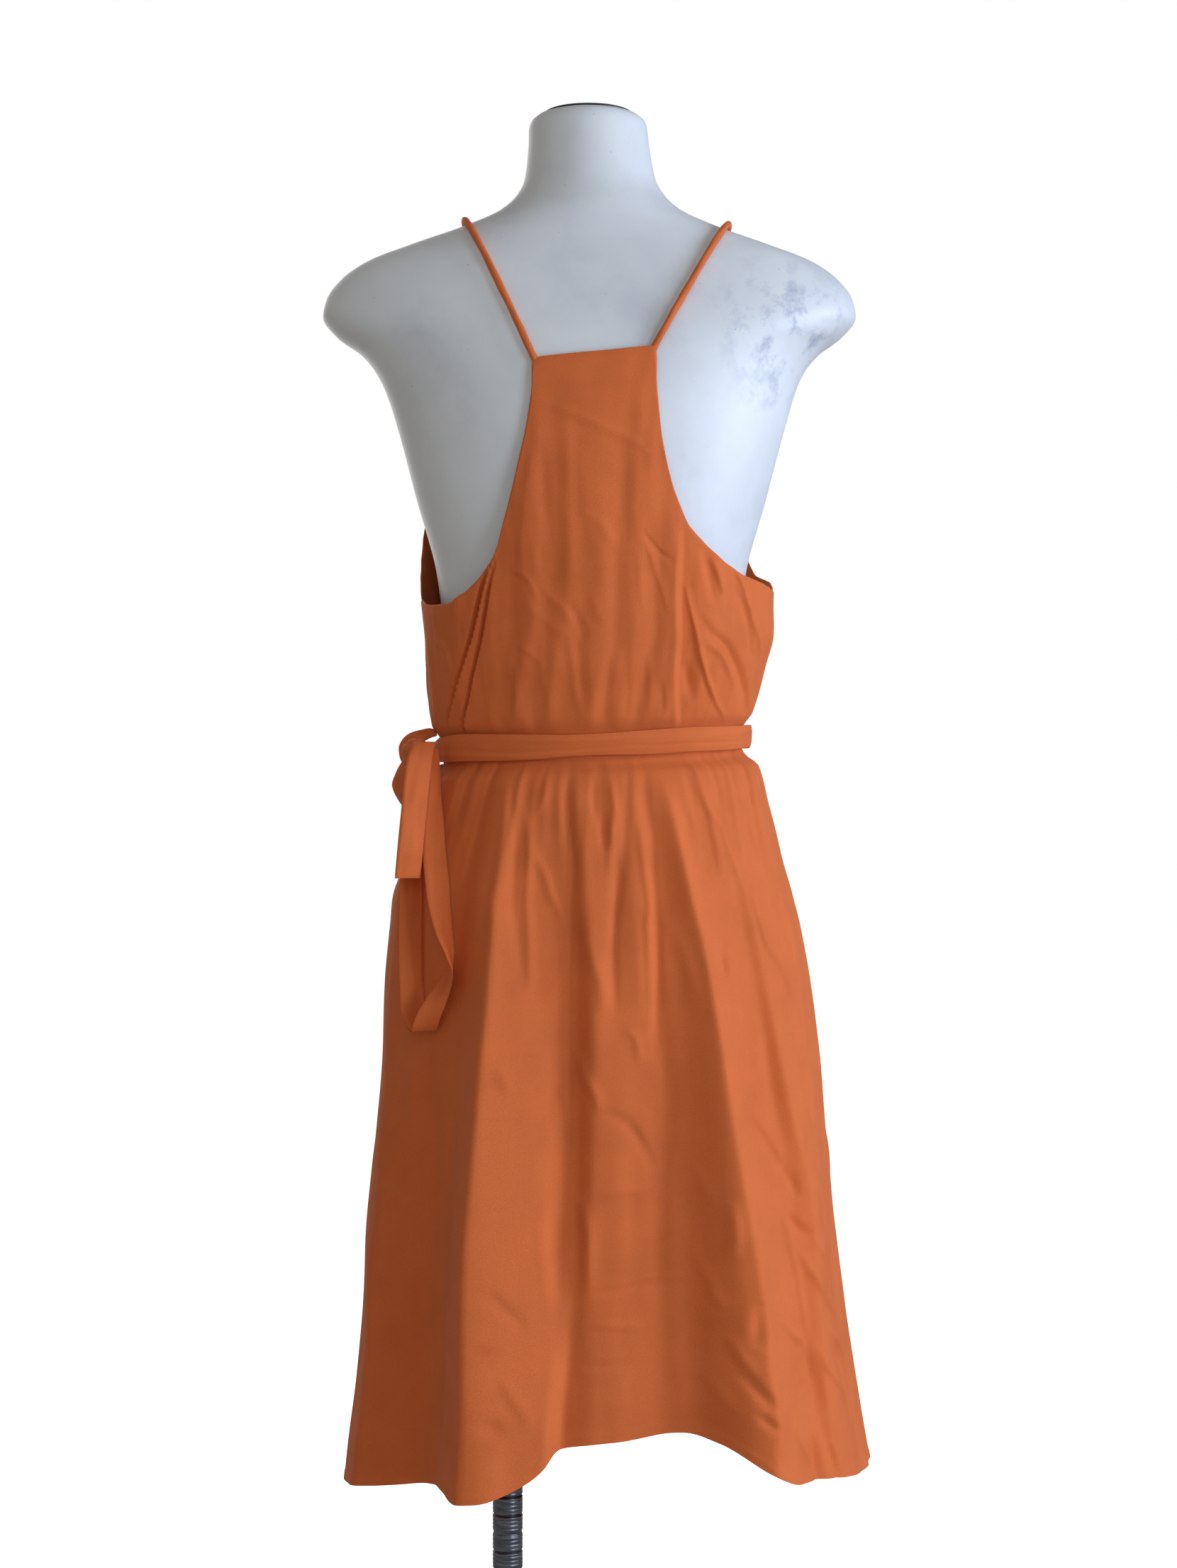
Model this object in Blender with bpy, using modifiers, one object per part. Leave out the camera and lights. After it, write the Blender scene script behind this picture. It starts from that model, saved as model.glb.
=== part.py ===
"""Sleeveless wrap dress with a racer back, strap ties and a sash, worn by a limbless dress form on a stand.

Metres, +Z up. The floor is z = 0, the form's axis is the z axis, the front of the dress
faces -Y and the wearer's left is +X, where the sash is knotted.

Every cloth piece is cut from one of two surfaces that go round the body: the bodice and the
skirt. A place on them is an angle round the body in degrees (0 at the wearer's left, 90 at
the back, 180 at the right, 270 at the front) and a height.
"""
import math
from collections import namedtuple

import bmesh
import bpy
from mathutils import Vector

# ------------------------------------------------------------------ driving sizes
CLOTH = 0.0012            # wall of one cloth layer
SEAM_GAP = 0.0003         # between pieces that meet at a seam
WRAP_GAP = 0.0042         # from the under front's outer face to the over front's outer face
WAIST_Z = 1.0205          # the waist seam in the tables below; the real one slopes, see waist_z
FORM_BOTTOM_Z = 0.80
NECK_TOP_Z = 1.531
STRAP_RADIUS = 0.0024
STRAP_GAP = 0.0022        # from the form's skin
SASH_THICKNESS = 0.0018
PLATE_RADIUS = 0.0355     # the cap on the neck
PLATE_THICKNESS = 0.0022
POLE_X = 0.066            # the pole stands under the form's left thigh
POLE_RADIUS = 0.0118
RING_PITCH = 0.0145       # the pole has turned rings from just below the hem upwards
RING_COUNT = 12
RING_DEPTH = 0.0011
RING_HALF_WIDTH = 0.0016
LOWEST_RING_Z = 0.352
COLLAR_LENGTH = 0.030
SOCKET_HEIGHT = 0.024
SLEEVE_RADIUS = 0.0190    # of the collar above the pole and of the socket below it
FLANGE_RADIUS = 0.030
BASE_RADIUS = 0.185
BASE_THICKNESS = 0.010

# ------------------------------------------------------------------ sections round the body
# half_width is along X, back and front are the depths behind and before the axis,
# shift_x and shift_y move the whole section, square is the superellipse exponent.
Section = namedtuple("Section", "z half_width back front shift_x shift_y square")

FORM_SECTIONS = (
    Section(0.800, 0.118, 0.086, 0.070, 0.0, 0.0, 2.3),
    Section(0.806, 0.134, 0.100, 0.080, 0.0, 0.0, 2.3),
    Section(0.830, 0.146, 0.108, 0.086, 0.0, 0.0, 2.2),
    Section(0.880, 0.150, 0.109, 0.090, 0.0, 0.0, 2.1),
    Section(0.930, 0.140, 0.098, 0.090, 0.0, 0.0, 2.1),
    Section(0.980, 0.122, 0.080, 0.087, 0.0, 0.0, 2.1),
    Section(1.025, 0.111, 0.071, 0.084, 0.0, 0.0, 2.1),
    Section(1.065, 0.111, 0.074, 0.087, 0.0, 0.0, 2.1),
    Section(1.110, 0.115, 0.083, 0.093, 0.0, 0.0, 2.1),
    Section(1.166, 0.122, 0.092, 0.095, 0.0, 0.0, 2.1),
    Section(1.225, 0.138, 0.098, 0.092, 0.0, 0.0, 2.15),
    Section(1.278, 0.152, 0.100, 0.086, 0.0, 0.0, 2.2),
    Section(1.310, 0.162, 0.098, 0.079, 0.0005, 0.0, 2.25),
    Section(1.3254, 0.1695, 0.095, 0.076, 0.0010, 0.0, 2.3),
    Section(1.3394, 0.1810, 0.092, 0.072, 0.0010, 0.0, 2.35),
    Section(1.3534, 0.2000, 0.087, 0.069, 0.0015, 0.0, 2.4),
    Section(1.3674, 0.2100, 0.081, 0.064, 0.0015, 0.0, 2.4),
    Section(1.3814, 0.2070, 0.075, 0.060, 0.0015, 0.0, 2.4),
    Section(1.3954, 0.1970, 0.069, 0.054, 0.0015, 0.0, 2.35),
    Section(1.4094, 0.1785, 0.063, 0.049, 0.0015, -0.0005, 2.25),
    Section(1.4234, 0.1445, 0.058, 0.046, 0.0015, -0.0015, 2.1),
    Section(1.4374, 0.1055, 0.056, 0.044, 0.0010, -0.0035, 2.0),
    Section(1.4514, 0.0740, 0.055, 0.045, 0.0005, -0.006, 2.0),
    Section(1.4654, 0.0590, 0.052, 0.046, 0.0005, -0.009, 2.0),
    Section(1.4794, 0.0520, 0.050, 0.047, 0.0010, -0.011, 2.0),
    Section(1.5074, 0.0480, 0.0485, 0.047, 0.0020, -0.015, 2.0),
    Section(1.5214, 0.0470, 0.0475, 0.046, 0.0025, -0.016, 2.0),
    Section(1.5275, 0.0445, 0.0450, 0.044, 0.0025, -0.0165, 2.0),
    Section(1.5310, 0.0390, 0.0400, 0.039, 0.0025, -0.017, 2.0),
)

BODICE_SECTIONS = (
    Section(1.0205, 0.1175, 0.0790, 0.0910, -0.0010, 0.0, 2.1),
    Section(1.0380, 0.1190, 0.0810, 0.0930, -0.0010, 0.0, 2.1),
    Section(1.0500, 0.1255, 0.0870, 0.0980, -0.0012, 0.0, 2.1),
    Section(1.0706, 0.1297, 0.0930, 0.1040, -0.0030, 0.0, 2.1),
    Section(1.0930, 0.1335, 0.0990, 0.1090, -0.0045, 0.0, 2.1),
    Section(1.1154, 0.1370, 0.1005, 0.1110, -0.0064, 0.0, 2.1),
    Section(1.1434, 0.1388, 0.1020, 0.1115, -0.0048, 0.0, 2.1),
    Section(1.1800, 0.1430, 0.1040, 0.1080, -0.0035, 0.0, 2.1),
    Section(1.2200, 0.1470, 0.1050, 0.1030, -0.0010, 0.0, 2.15),
    Section(1.2600, 0.1530, 0.1055, 0.0970, 0.0, 0.0, 2.2),
    Section(1.3000, 0.1640, 0.1045, 0.0900, 0.0, 0.0, 2.25),
    Section(1.3400, 0.1880, 0.0985, 0.0810, 0.0, 0.0, 2.3),
)

SKIRT_SECTIONS = (
    Section(0.440, 0.2078, 0.1620, 0.1560, -0.0150, 0.0, 2.1),
    Section(0.488, 0.2012, 0.1580, 0.1510, -0.0130, 0.0, 2.1),
    Section(0.533, 0.1950, 0.1545, 0.1460, -0.0120, 0.0, 2.1),
    Section(0.578, 0.1895, 0.1510, 0.1410, -0.0105, 0.0, 2.1),
    Section(0.667, 0.1825, 0.1440, 0.1320, -0.0078, 0.0, 2.1),
    Section(0.757, 0.1742, 0.1370, 0.1240, -0.0085, 0.0, 2.1),
    Section(0.8466, 0.1672, 0.1280, 0.1170, -0.0045, 0.0, 2.1),
    Section(0.891, 0.1612, 0.1215, 0.1130, -0.0024, 0.0, 2.1),
    Section(0.914, 0.1572, 0.1180, 0.1110, -0.0008, 0.0, 2.1),
    Section(0.936, 0.1500, 0.1130, 0.1090, -0.0012, 0.0, 2.1),
    Section(0.981, 0.1360, 0.1010, 0.1050, -0.0022, 0.0, 2.1),
    Section(1.008, 0.1280, 0.0905, 0.0990, -0.0025, 0.0, 2.1),
    Section(1.0160, 0.1190, 0.0810, 0.0925, -0.0012, 0.0, 2.1),
    Section(1.0205, 0.1175, 0.0790, 0.0910, -0.0010, 0.0, 2.1),
)

# Bust mounds: height of each mound, its distance from the middle, its spread along X and Z.
Bust = namedtuple("Bust", "height apart flat spread_x z spread_z")
FORM_BUST = Bust(height=0.030, apart=0.074, flat=0.0, spread_x=0.046, z=1.200, spread_z=0.050)
CLOTH_BUST = Bust(height=0.033, apart=0.0, flat=0.066, spread_x=0.052, z=1.196, spread_z=0.060)

# ------------------------------------------------------------------ folds
# A skirt fold runs from top_angle at the waist to hem_angle at the hem. It starts at the
# fraction `start` of the skirt's length and reaches height (out is positive) at the hem,
# where it is 2 * half_angle degrees wide. At the waist it is FOLD_TOP_WIDTH of that.
FOLD_TOP_WIDTH = 0.55
SkirtFold = namedtuple("SkirtFold", "top_angle hem_angle start height half_angle")
SKIRT_FOLDS = (
    SkirtFold(14, 22, 0.30, 0.010, 16),
    SkirtFold(50, 45, 0.08, -0.019, 13),
    SkirtFold(63, 64, 0.06, 0.030, 15),
    SkirtFold(84, 84, 0.05, -0.013, 11),
    SkirtFold(93, 94, 0.10, 0.004, 8),
    SkirtFold(109, 108, 0.02, -0.023, 15),
    SkirtFold(114, 131, 0.04, 0.022, 14),
    SkirtFold(133, 141, 0.10, -0.008, 8),
    SkirtFold(150, 152, 0.20, 0.007, 10),
    SkirtFold(170, 170, 0.30, -0.007, 11),
    SkirtFold(196, 198, 0.25, 0.012, 13),
    SkirtFold(218, 216, 0.15, -0.016, 13),
    SkirtFold(236, 238, 0.12, 0.020, 14),
    SkirtFold(258, 260, 0.15, -0.015, 13),
    SkirtFold(280, 281, 0.15, 0.015, 13),
    SkirtFold(302, 301, 0.12, -0.016, 13),
    SkirtFold(322, 321, 0.12, 0.018, 13),
    SkirtFold(342, 342, 0.25, -0.012, 13),
)
GATHER_COUNT = 30          # small gathers let into the waist seam, all round
GATHER_HEIGHT = 0.0016
GATHER_START = 0.012       # below the seam they are full at this
GATHER_LENGTH = 0.075      # and gone at this

# A bodice fold runs from (angle, z) to (end_angle, end_z), out is positive, and it tapers
# to nothing over the share `taper` of its length at its upper end. It starts above the sash.
ABOVE_SASH = 0.018         # the height over which the sash lets a fold go
BODICE_REACH = 0.13        # from the body's axis, to turn degrees into metres round it
BodiceFold = namedtuple("BodiceFold", "angle z end_angle end_z height half_width taper")
BODICE_FOLDS = (
    BodiceFold(30, 1.030, 54, 1.165, -0.0050, 0.010, 0.4),
    BodiceFold(37, 1.030, 58, 1.185, 0.0050, 0.011, 0.4),
    BodiceFold(47, 1.030, 63, 1.200, -0.0030, 0.010, 0.5),
    BodiceFold(82, 1.024, 78, 1.160, 0.0030, 0.013, 0.7),
    BodiceFold(98, 1.024, 97, 1.150, -0.0028, 0.013, 0.7),
    BodiceFold(121, 1.030, 116, 1.215, 0.0050, 0.011, 0.5),
    BodiceFold(140, 1.035, 127, 1.195, -0.0062, 0.017, 0.4),
    BodiceFold(152, 1.050, 148, 1.165, 0.0045, 0.014, 0.6),
    BodiceFold(205, 1.030, 212, 1.150, 0.0035, 0.015, 0.6),
    BodiceFold(228, 1.030, 236, 1.150, -0.0025, 0.014, 0.6),
    BodiceFold(250, 1.030, 250, 1.140, 0.0035, 0.014, 0.6),
    BodiceFold(292, 1.030, 290, 1.140, -0.0025, 0.014, 0.6),
    BodiceFold(313, 1.030, 306, 1.150, 0.0035, 0.015, 0.6),
    BodiceFold(335, 1.030, 328, 1.150, -0.0028, 0.015, 0.6),
)

# ------------------------------------------------------------------ outlines of the pieces
Hem = namedtuple("Hem", "angle z")
HEM = (
    Hem(0, 0.458), Hem(26, 0.467), Hem(46, 0.473), Hem(58, 0.474), Hem(66, 0.479),
    Hem(74, 0.496), Hem(82, 0.513), Hem(93, 0.518), Hem(106, 0.523), Hem(113, 0.517),
    Hem(122, 0.496), Hem(131, 0.483), Hem(141, 0.480), Hem(152, 0.474), Hem(168, 0.466),
    Hem(180, 0.462), Hem(225, 0.457), Hem(270, 0.456), Hem(315, 0.457), Hem(360, 0.458),
)

BACK_LEFT, BACK_RIGHT = -2.84, 182.84   # the back's side edges
FRONT_SIDE = -3.16                      # a front's side edge, as if at the wearer's left

# The back is cut in columns, each from a place on the waist to a place on its rim.
Rim = namedtuple("Rim", "number waist_angle angle z")
BACK_RIM = (               # up the left armhole, across the top, down the right armhole
    Rim(0, BACK_LEFT, BACK_LEFT, 1.1470), Rim(1, 7, 9, 1.1425), Rim(2, 17, 21, 1.1388),
    Rim(3, 27, 33, 1.1385), Rim(4, 36, 44, 1.1460), Rim(5, 43, 51, 1.1565), Rim(6, 49, 57.5, 1.1720),
    Rim(7, 54, 62, 1.1940), Rim(8, 59, 67.5, 1.2240), Rim(9, 64, 72.8, 1.2620), Rim(10, 69, 76.1, 1.2940),
    Rim(11, 74, 78, 1.3200), Rim(12, 82, 86, 1.3235), Rim(13, 90, 94.3, 1.3268), Rim(14, 98, 102.5, 1.3300),
    Rim(15, 104, 105.2, 1.2980), Rim(16, 110, 108.2, 1.2620), Rim(17, 116, 113.0, 1.2220),
    Rim(18, 122, 118.6, 1.1950), Rim(19, 128, 125.0, 1.1810), Rim(20, 135, 133.0, 1.1685),
    Rim(21, 144, 142.5, 1.1600), Rim(22, 155, 154.5, 1.1555), Rim(23, 168, 168, 1.1525),
    Rim(24, BACK_RIGHT, BACK_RIGHT, 1.1530),
)

# Both edges of a bodice front, by the share of the way up it.
Edge = namedtuple("Edge", "share angle z other_angle other_z")
LEFT_FRONT_EDGES = (       # side edge and armhole, then the waist end and the neckline
    Edge(0.00, FRONT_SIDE, WAIST_Z, -141.0, WAIST_Z),
    Edge(0.20, FRONT_SIDE, 1.072, -124.0, 1.058),
    Edge(0.40, FRONT_SIDE, 1.124, -105.5, 1.098),
    Edge(0.48, FRONT_SIDE, 1.1470, -98.5, 1.1130),
    Edge(0.56, -8.0, 1.1640, -92.0, 1.1300),
    Edge(0.66, -17.0, 1.1930, -83.5, 1.1580),
    Edge(0.78, -31.0, 1.2310, -73.0, 1.2030),
    Edge(0.90, -44.0, 1.2720, -62.5, 1.2560),
    Edge(1.00, -51.5, 1.3030, -55.5, 1.3000),
)
RIGHT_FRONT_EDGES = (      # the same, as if it were on the left
    Edge(0.00, FRONT_SIDE, WAIST_Z, -141.0, WAIST_Z),
    Edge(0.20, FRONT_SIDE, 1.075, -124.0, 1.058),
    Edge(0.40, FRONT_SIDE, 1.130, -105.5, 1.098),
    Edge(0.48, FRONT_SIDE, 1.1530, -98.5, 1.1130),
    Edge(0.56, -28.0, 1.1700, -92.0, 1.1300),
    Edge(0.66, -35.0, 1.1920, -83.5, 1.1580),
    Edge(0.78, -41.0, 1.2280, -73.0, 1.2030),
    Edge(0.90, -46.0, 1.2720, -62.5, 1.2560),
    Edge(1.00, -51.5, 1.3030, -55.5, 1.3000),
)
SKIRT_UNDERLAP_END = -141.0   # the under front ends near the right side seam
SKIRT_OVERLAP_END = 327.0     # the over front ends near the left side seam
WRAP_SPREAD = 24.0            # degrees in which the over front leaves the right side seam
SLOPE_REACH = 0.12            # the waist's slope is lost at this distance above and below it

# A strap lies over the form in upright planes. It is where rays from the chest, leaning back
# from +Y, leave the form: x and lean at its back end, x at the shoulder, both at its front end.
CHEST_Z = 1.30
Strap = namedtuple("Strap", "name back_x shoulder_x front_x back_lean front_lean")
STRAPS = (
    Strap("strap_left", 0.0445, 0.0985, 0.1010, 16.5, 174.0),
    Strap("strap_right", -0.0455, -0.1070, -0.1010, 21.0, 174.0),
)

# ------------------------------------------------------------------ sash
SASH_LIFT = 0.0052        # from the waist section's outer face to the sash's outer face, at the back
SASH_FRONT_LIFT = 0.0054  # more of it in front, over both fronts
SASH_CROWN = 0.0010
SASH_ABOVE_WAIST = 0.0095 # the sash's middle above the waist seam
BAND_HEIGHT = 0.0185      # the sash is a little crushed where it goes round the waist
SashHeight = namedtuple("SashHeight", "angle z")
SASH_MIDDLE = (
    SashHeight(0, 1.0250), SashHeight(30, 1.0262), SashHeight(60, 1.0275), SashHeight(90, 1.0292),
    SashHeight(120, 1.0318), SashHeight(150, 1.0350), SashHeight(180, 1.0375), SashHeight(225, 1.0380),
    SashHeight(270, 1.0355), SashHeight(330, 1.0275), SashHeight(360, 1.0250),
)

# A ribbon's centre line, its width there and the way its face looks, as an angle in the
# XY plane from +Y, turned towards +X.
Stop = namedtuple("Stop", "x y z width face")
SASH_END = (               # the free end, which hangs outermost
    Stop(0.1310, 0.0440, 1.0340, 0.017, 10), Stop(0.1325, 0.0530, 1.0180, 0.020, 12),
    Stop(0.1345, 0.0605, 0.9920, 0.021, 14), Stop(0.1375, 0.0675, 0.9600, 0.021, 15),
    Stop(0.1406, 0.0725, 0.9300, 0.021, 14),
)
SASH_LOOP = (              # the long bow loop, down one strand, round the bend and up the other
    Stop(0.1270, 0.0380, 1.0180, 0.013, 20), Stop(0.1262, 0.0470, 1.0020, 0.018, 25),
    Stop(0.1243, 0.0640, 0.9640, 0.021, 32), Stop(0.1195, 0.0800, 0.9290, 0.021, 36),
    Stop(0.1145, 0.0930, 0.9000, 0.021, 38), Stop(0.1110, 0.0993, 0.8700, 0.021, 38),
    Stop(0.1120, 0.1028, 0.8520, 0.021, 38), Stop(0.1180, 0.1028, 0.8350, 0.021, 38),
    Stop(0.1260, 0.0995, 0.8190, 0.021, 38), Stop(0.1292, 0.0950, 0.8130, 0.021, 38),
    Stop(0.1320, 0.0895, 0.8165, 0.021, 38), Stop(0.1345, 0.0840, 0.8290, 0.021, 38),
    Stop(0.1355, 0.0815, 0.8450, 0.021, 38), Stop(0.1350, 0.0760, 0.8800, 0.021, 38),
    Stop(0.1350, 0.0660, 0.9150, 0.021, 38), Stop(0.1345, 0.0470, 0.9600, 0.021, 42),
    Stop(0.1340, 0.0340, 0.9950, 0.018, 46), Stop(0.1340, 0.0280, 1.0120, 0.014, 50),
)
SMALL_LOOP = (             # the short loop that falls towards the front
    Stop(0.1440, 0.0190, 1.0190, 0.012, 60), Stop(0.1500, 0.0150, 1.0070, 0.016, 66),
    Stop(0.1535, 0.0090, 0.9950, 0.018, 72), Stop(0.1520, 0.0010, 0.9830, 0.018, 80),
    Stop(0.1475, -0.0060, 0.9860, 0.018, 84), Stop(0.1440, -0.0020, 1.0010, 0.016, 84),
    Stop(0.1420, 0.0060, 1.0150, 0.012, 80),
)
TOP_STRAND = (             # the strand that arches from the band over to the knot
    Stop(0.1245, 0.0060, 1.0435, 0.012, 90), Stop(0.1300, 0.0090, 1.0455, 0.014, 90),
    Stop(0.1375, 0.0140, 1.0435, 0.014, 86), Stop(0.1435, 0.0200, 1.0380, 0.013, 80),
)
KNOT_CENTRE = (0.1365, 0.0250, 1.0270)
KNOT_SIZE = (0.0200, 0.0240, 0.0170)


# ------------------------------------------------------------------ numbers into curves
def smooth_value(rows, key, value, at):
    """The column `value` of a table, on a smooth curve through its rows, where column `key` is `at`."""
    keys = [getattr(row, key) for row in rows]
    values = [getattr(row, value) for row in rows]
    if at <= keys[0]:
        return values[0]
    if at >= keys[-1]:
        return values[-1]
    i = next(n for n in range(len(keys) - 1) if keys[n + 1] >= at)
    slopes = [(values[n + 1] - values[n]) / (keys[n + 1] - keys[n]) for n in range(len(keys) - 1)]

    def tangent(n):
        if n == 0 or n == len(keys) - 1:
            return slopes[min(n, len(slopes) - 1)]
        before, after = slopes[n - 1], slopes[n]
        return 0.0 if before * after <= 0 else 2 * before * after / (before + after)

    step = keys[i + 1] - keys[i]
    t = (at - keys[i]) / step
    return (values[i] * (1 + 2 * t) * (1 - t) ** 2 + tangent(i) * step * t * (1 - t) ** 2
            + values[i + 1] * t * t * (3 - 2 * t) + tangent(i + 1) * step * t * t * (t - 1))


def section_at(sections, z):
    columns = [smooth_value(sections, "z", name, z) for name in Section._fields[1:]]
    return Section(z, *columns)


def bell(distance):
    """1 at 0, falling smoothly to 0 at 1 and beyond."""
    return 0.5 + 0.5 * math.cos(math.pi * distance) if abs(distance) < 1 else 0.0


def ramp(t):
    t = min(max(t, 0.0), 1.0)
    return t * t * (3 - 2 * t)


def angle_from(angle, middle):
    """The signed angle from middle to angle, from -180 to 180 degrees."""
    return (angle - middle + 180) % 360 - 180


# ------------------------------------------------------------------ surfaces round the body
def on_section(section, angle):
    """A point on a section and its outward direction."""
    c, s = math.cos(math.radians(angle)), math.sin(math.radians(angle))
    depth = section.back if s >= 0 else section.front
    power = 2 / section.square
    x = section.half_width * math.copysign(abs(c) ** power, c)
    y = depth * math.copysign(abs(s) ** power, s)
    out = Vector((math.copysign(abs(c) ** (2 - power), c) / section.half_width,
                  math.copysign(abs(s) ** (2 - power), s) / depth, 0)).normalized()
    return Vector((x + section.shift_x, y + section.shift_y, section.z)), out


def bust_rise(bust, x, z):
    across = max(0.0, abs(abs(x) - bust.apart) - bust.flat) / bust.spread_x
    up = (z - bust.z) / bust.spread_z
    return bust.height * math.exp(-across ** 2 - up ** 2)


def form_point(angle, z):
    point, out = on_section(section_at(FORM_SECTIONS, z), angle)
    if math.sin(math.radians(angle)) < 0:
        point.y -= bust_rise(FORM_BUST, point.x, z) * abs(out.y)
    return point


def skirt_fold_rise(angle, share):
    rise = 0.0
    for fold in SKIRT_FOLDS:
        middle = fold.top_angle + (fold.hem_angle - fold.top_angle) * share
        grown = ramp((share - fold.start) / (1 - fold.start))
        width = fold.half_angle * (FOLD_TOP_WIDTH + (1 - FOLD_TOP_WIDTH) * share)
        rise += fold.height * grown * bell(angle_from(angle, middle) / width)
    return rise


def gather_rise(angle, below_waist):
    """The gathers stand out from the waist seam and fade down the skirt."""
    grown = ramp(below_waist / GATHER_START) * (1 - ramp(below_waist / GATHER_LENGTH))
    return GATHER_HEIGHT * grown * math.cos(math.radians(angle * GATHER_COUNT))


def hem_z(angle):
    return smooth_value(HEM, "angle", "z", angle % 360)


def sash_middle_z(angle):
    return smooth_value(SASH_MIDDLE, "angle", "z", angle % 360)


def waist_z(angle):
    return sash_middle_z(angle) - SASH_ABOVE_WAIST


def at_level(sections, angle, z):
    """A place on the sections, which follow the waist's slope near it."""
    slope = waist_z(angle) - WAIST_Z
    level = z - slope * (1 - ramp(abs(z - waist_z(angle)) / SLOPE_REACH))
    point, out = on_section(section_at(sections, level), angle)
    point.z = z
    return point, out


def skirt_point(angle, z, over=False):
    point, out = at_level(SKIRT_SECTIONS, angle, z)
    below = waist_z(angle) - z
    share = below / (waist_z(angle) - hem_z(angle))
    rise = skirt_fold_rise(angle, share) + gather_rise(angle, below)
    return point + out * (rise + (wrap_lift(angle) if over else 0.0))


def bodice_fold_rise(angle, z):
    rise = 0.0
    for fold in BODICE_FOLDS:
        along = (z - fold.z) / (fold.end_z - fold.z)
        held = ramp((along + 0.12) / 0.12) * (1 - ramp((along - 1 + fold.taper) / fold.taper))
        middle = fold.angle + (fold.end_angle - fold.angle) * along
        across = math.radians(angle_from(angle, middle)) * BODICE_REACH
        rise += fold.height * held * bell(across / fold.half_width)
    return rise


def wrap_lift(angle):
    """How far the over front stands off, from nothing at the right side seam."""
    return WRAP_GAP * ramp((angle % 360 - BACK_RIGHT) / WRAP_SPREAD)


def bodice_point(angle, z, over=False):
    point, out = at_level(BODICE_SECTIONS, angle, z)
    if math.sin(math.radians(angle)) < 0:
        point.y -= bust_rise(CLOTH_BUST, point.x, z) * abs(out.y)
    loose = ramp((z - sash_middle_z(angle) - BAND_HEIGHT / 2) / ABOVE_SASH)
    rise = bodice_fold_rise(angle, z) * loose
    return point + out * (rise + (wrap_lift(angle) if over else 0.0))


# ------------------------------------------------------------------ Blender helpers
def clear_scene():
    for thing in list(bpy.data.objects):
        bpy.data.objects.remove(thing, do_unlink=True)
    for group in list(bpy.data.collections):
        bpy.data.collections.remove(group)


def new_collection(name):
    group = bpy.data.collections.new(name)
    bpy.context.scene.collection.children.link(group)
    return group


def material(name, colour, roughness, metallic=0.0):
    made = bpy.data.materials.new(name)
    made.use_nodes = True
    shader = made.node_tree.nodes["Principled BSDF"]
    shader.inputs["Base Color"].default_value = (*colour, 1.0)
    shader.inputs["Roughness"].default_value = roughness
    shader.inputs["Metallic"].default_value = metallic
    return made


def place(group, name, data, finish):
    made = bpy.data.objects.new(name, data)
    made.data.materials.append(finish)
    group.objects.link(made)
    return made


def rows_to_mesh(name, rows, closed=False, capped=False):
    """A mesh through rows of points: an open sheet, or with closed rows a tube."""
    shape = bmesh.new()
    grid = [[shape.verts.new(point) for point in row] for row in rows]
    across = len(rows[0]) if closed else len(rows[0]) - 1
    for lower, upper in zip(grid, grid[1:]):
        for i in range(across):
            j = (i + 1) % len(lower)
            shape.faces.new((lower[i], lower[j], upper[j], upper[i]))
    if capped:
        shape.faces.new(list(reversed(grid[0])))
        shape.faces.new(grid[-1])
    mesh = bpy.data.meshes.new(name)
    shape.to_mesh(mesh)
    shape.free()
    for face in mesh.polygons:
        face.use_smooth = True
    return mesh


def thicken(cloth, thickness, offset=-1.0):
    """Gives an open sheet its wall. With offset -1 the sheet stays the outer face."""
    wall = cloth.modifiers.new("wall", "SOLIDIFY")
    wall.thickness = thickness
    wall.offset = offset
    wall.use_even_offset = False
    return cloth


def spread(first, last, count, power=1.0):
    """count + 1 numbers from first to last; a power over 1 sets them closer at the start."""
    return [first + (last - first) * (i / count) ** power for i in range(count + 1)]


# ------------------------------------------------------------------ the form and its stand
def make_form(group, finish):
    heights = []
    for lower, upper in zip(FORM_SECTIONS, FORM_SECTIONS[1:]):
        steps = max(1, round((upper.z - lower.z) / 0.04))
        heights += spread(lower.z, upper.z, steps)[:-1]
    heights.append(NECK_TOP_Z)
    rows = [[form_point(angle, z) for angle in spread(0, 360, 32)[:-1]] for z in heights]
    return place(group, "dress_form", rows_to_mesh("dress_form", rows, closed=True, capped=True), finish)


def make_turned(group, name, profile, centre, finish, steps=24):
    """A solid of revolution: profile is (radius, z) from the top down, along its outer side."""
    mesh = bpy.data.meshes.new(name)
    points = [(radius, 0.0, z) for radius, z in profile]
    mesh.from_pydata(points, [(i, i + 1) for i in range(len(points) - 1)], [])
    made = place(group, name, mesh, finish)
    made.location = centre
    screw = made.modifiers.new("turned", "SCREW")
    screw.steps = screw.render_steps = steps
    screw.use_merge_vertices = True
    screw.merge_threshold = 0.0001
    screw.use_smooth_shade = True
    return made


def make_neck_plate(group, finish):
    top = NECK_TOP_Z + SEAM_GAP
    neck = FORM_SECTIONS[-1]
    bevel = PLATE_THICKNESS / 2
    profile = ((0.0, PLATE_THICKNESS), (PLATE_RADIUS - bevel, PLATE_THICKNESS),
               (PLATE_RADIUS, PLATE_THICKNESS - bevel), (PLATE_RADIUS, 0.0), (0.0, 0.0))
    return make_turned(group, "neck_plate", profile, (neck.shift_x, neck.shift_y, top), finish, steps=32)


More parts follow.
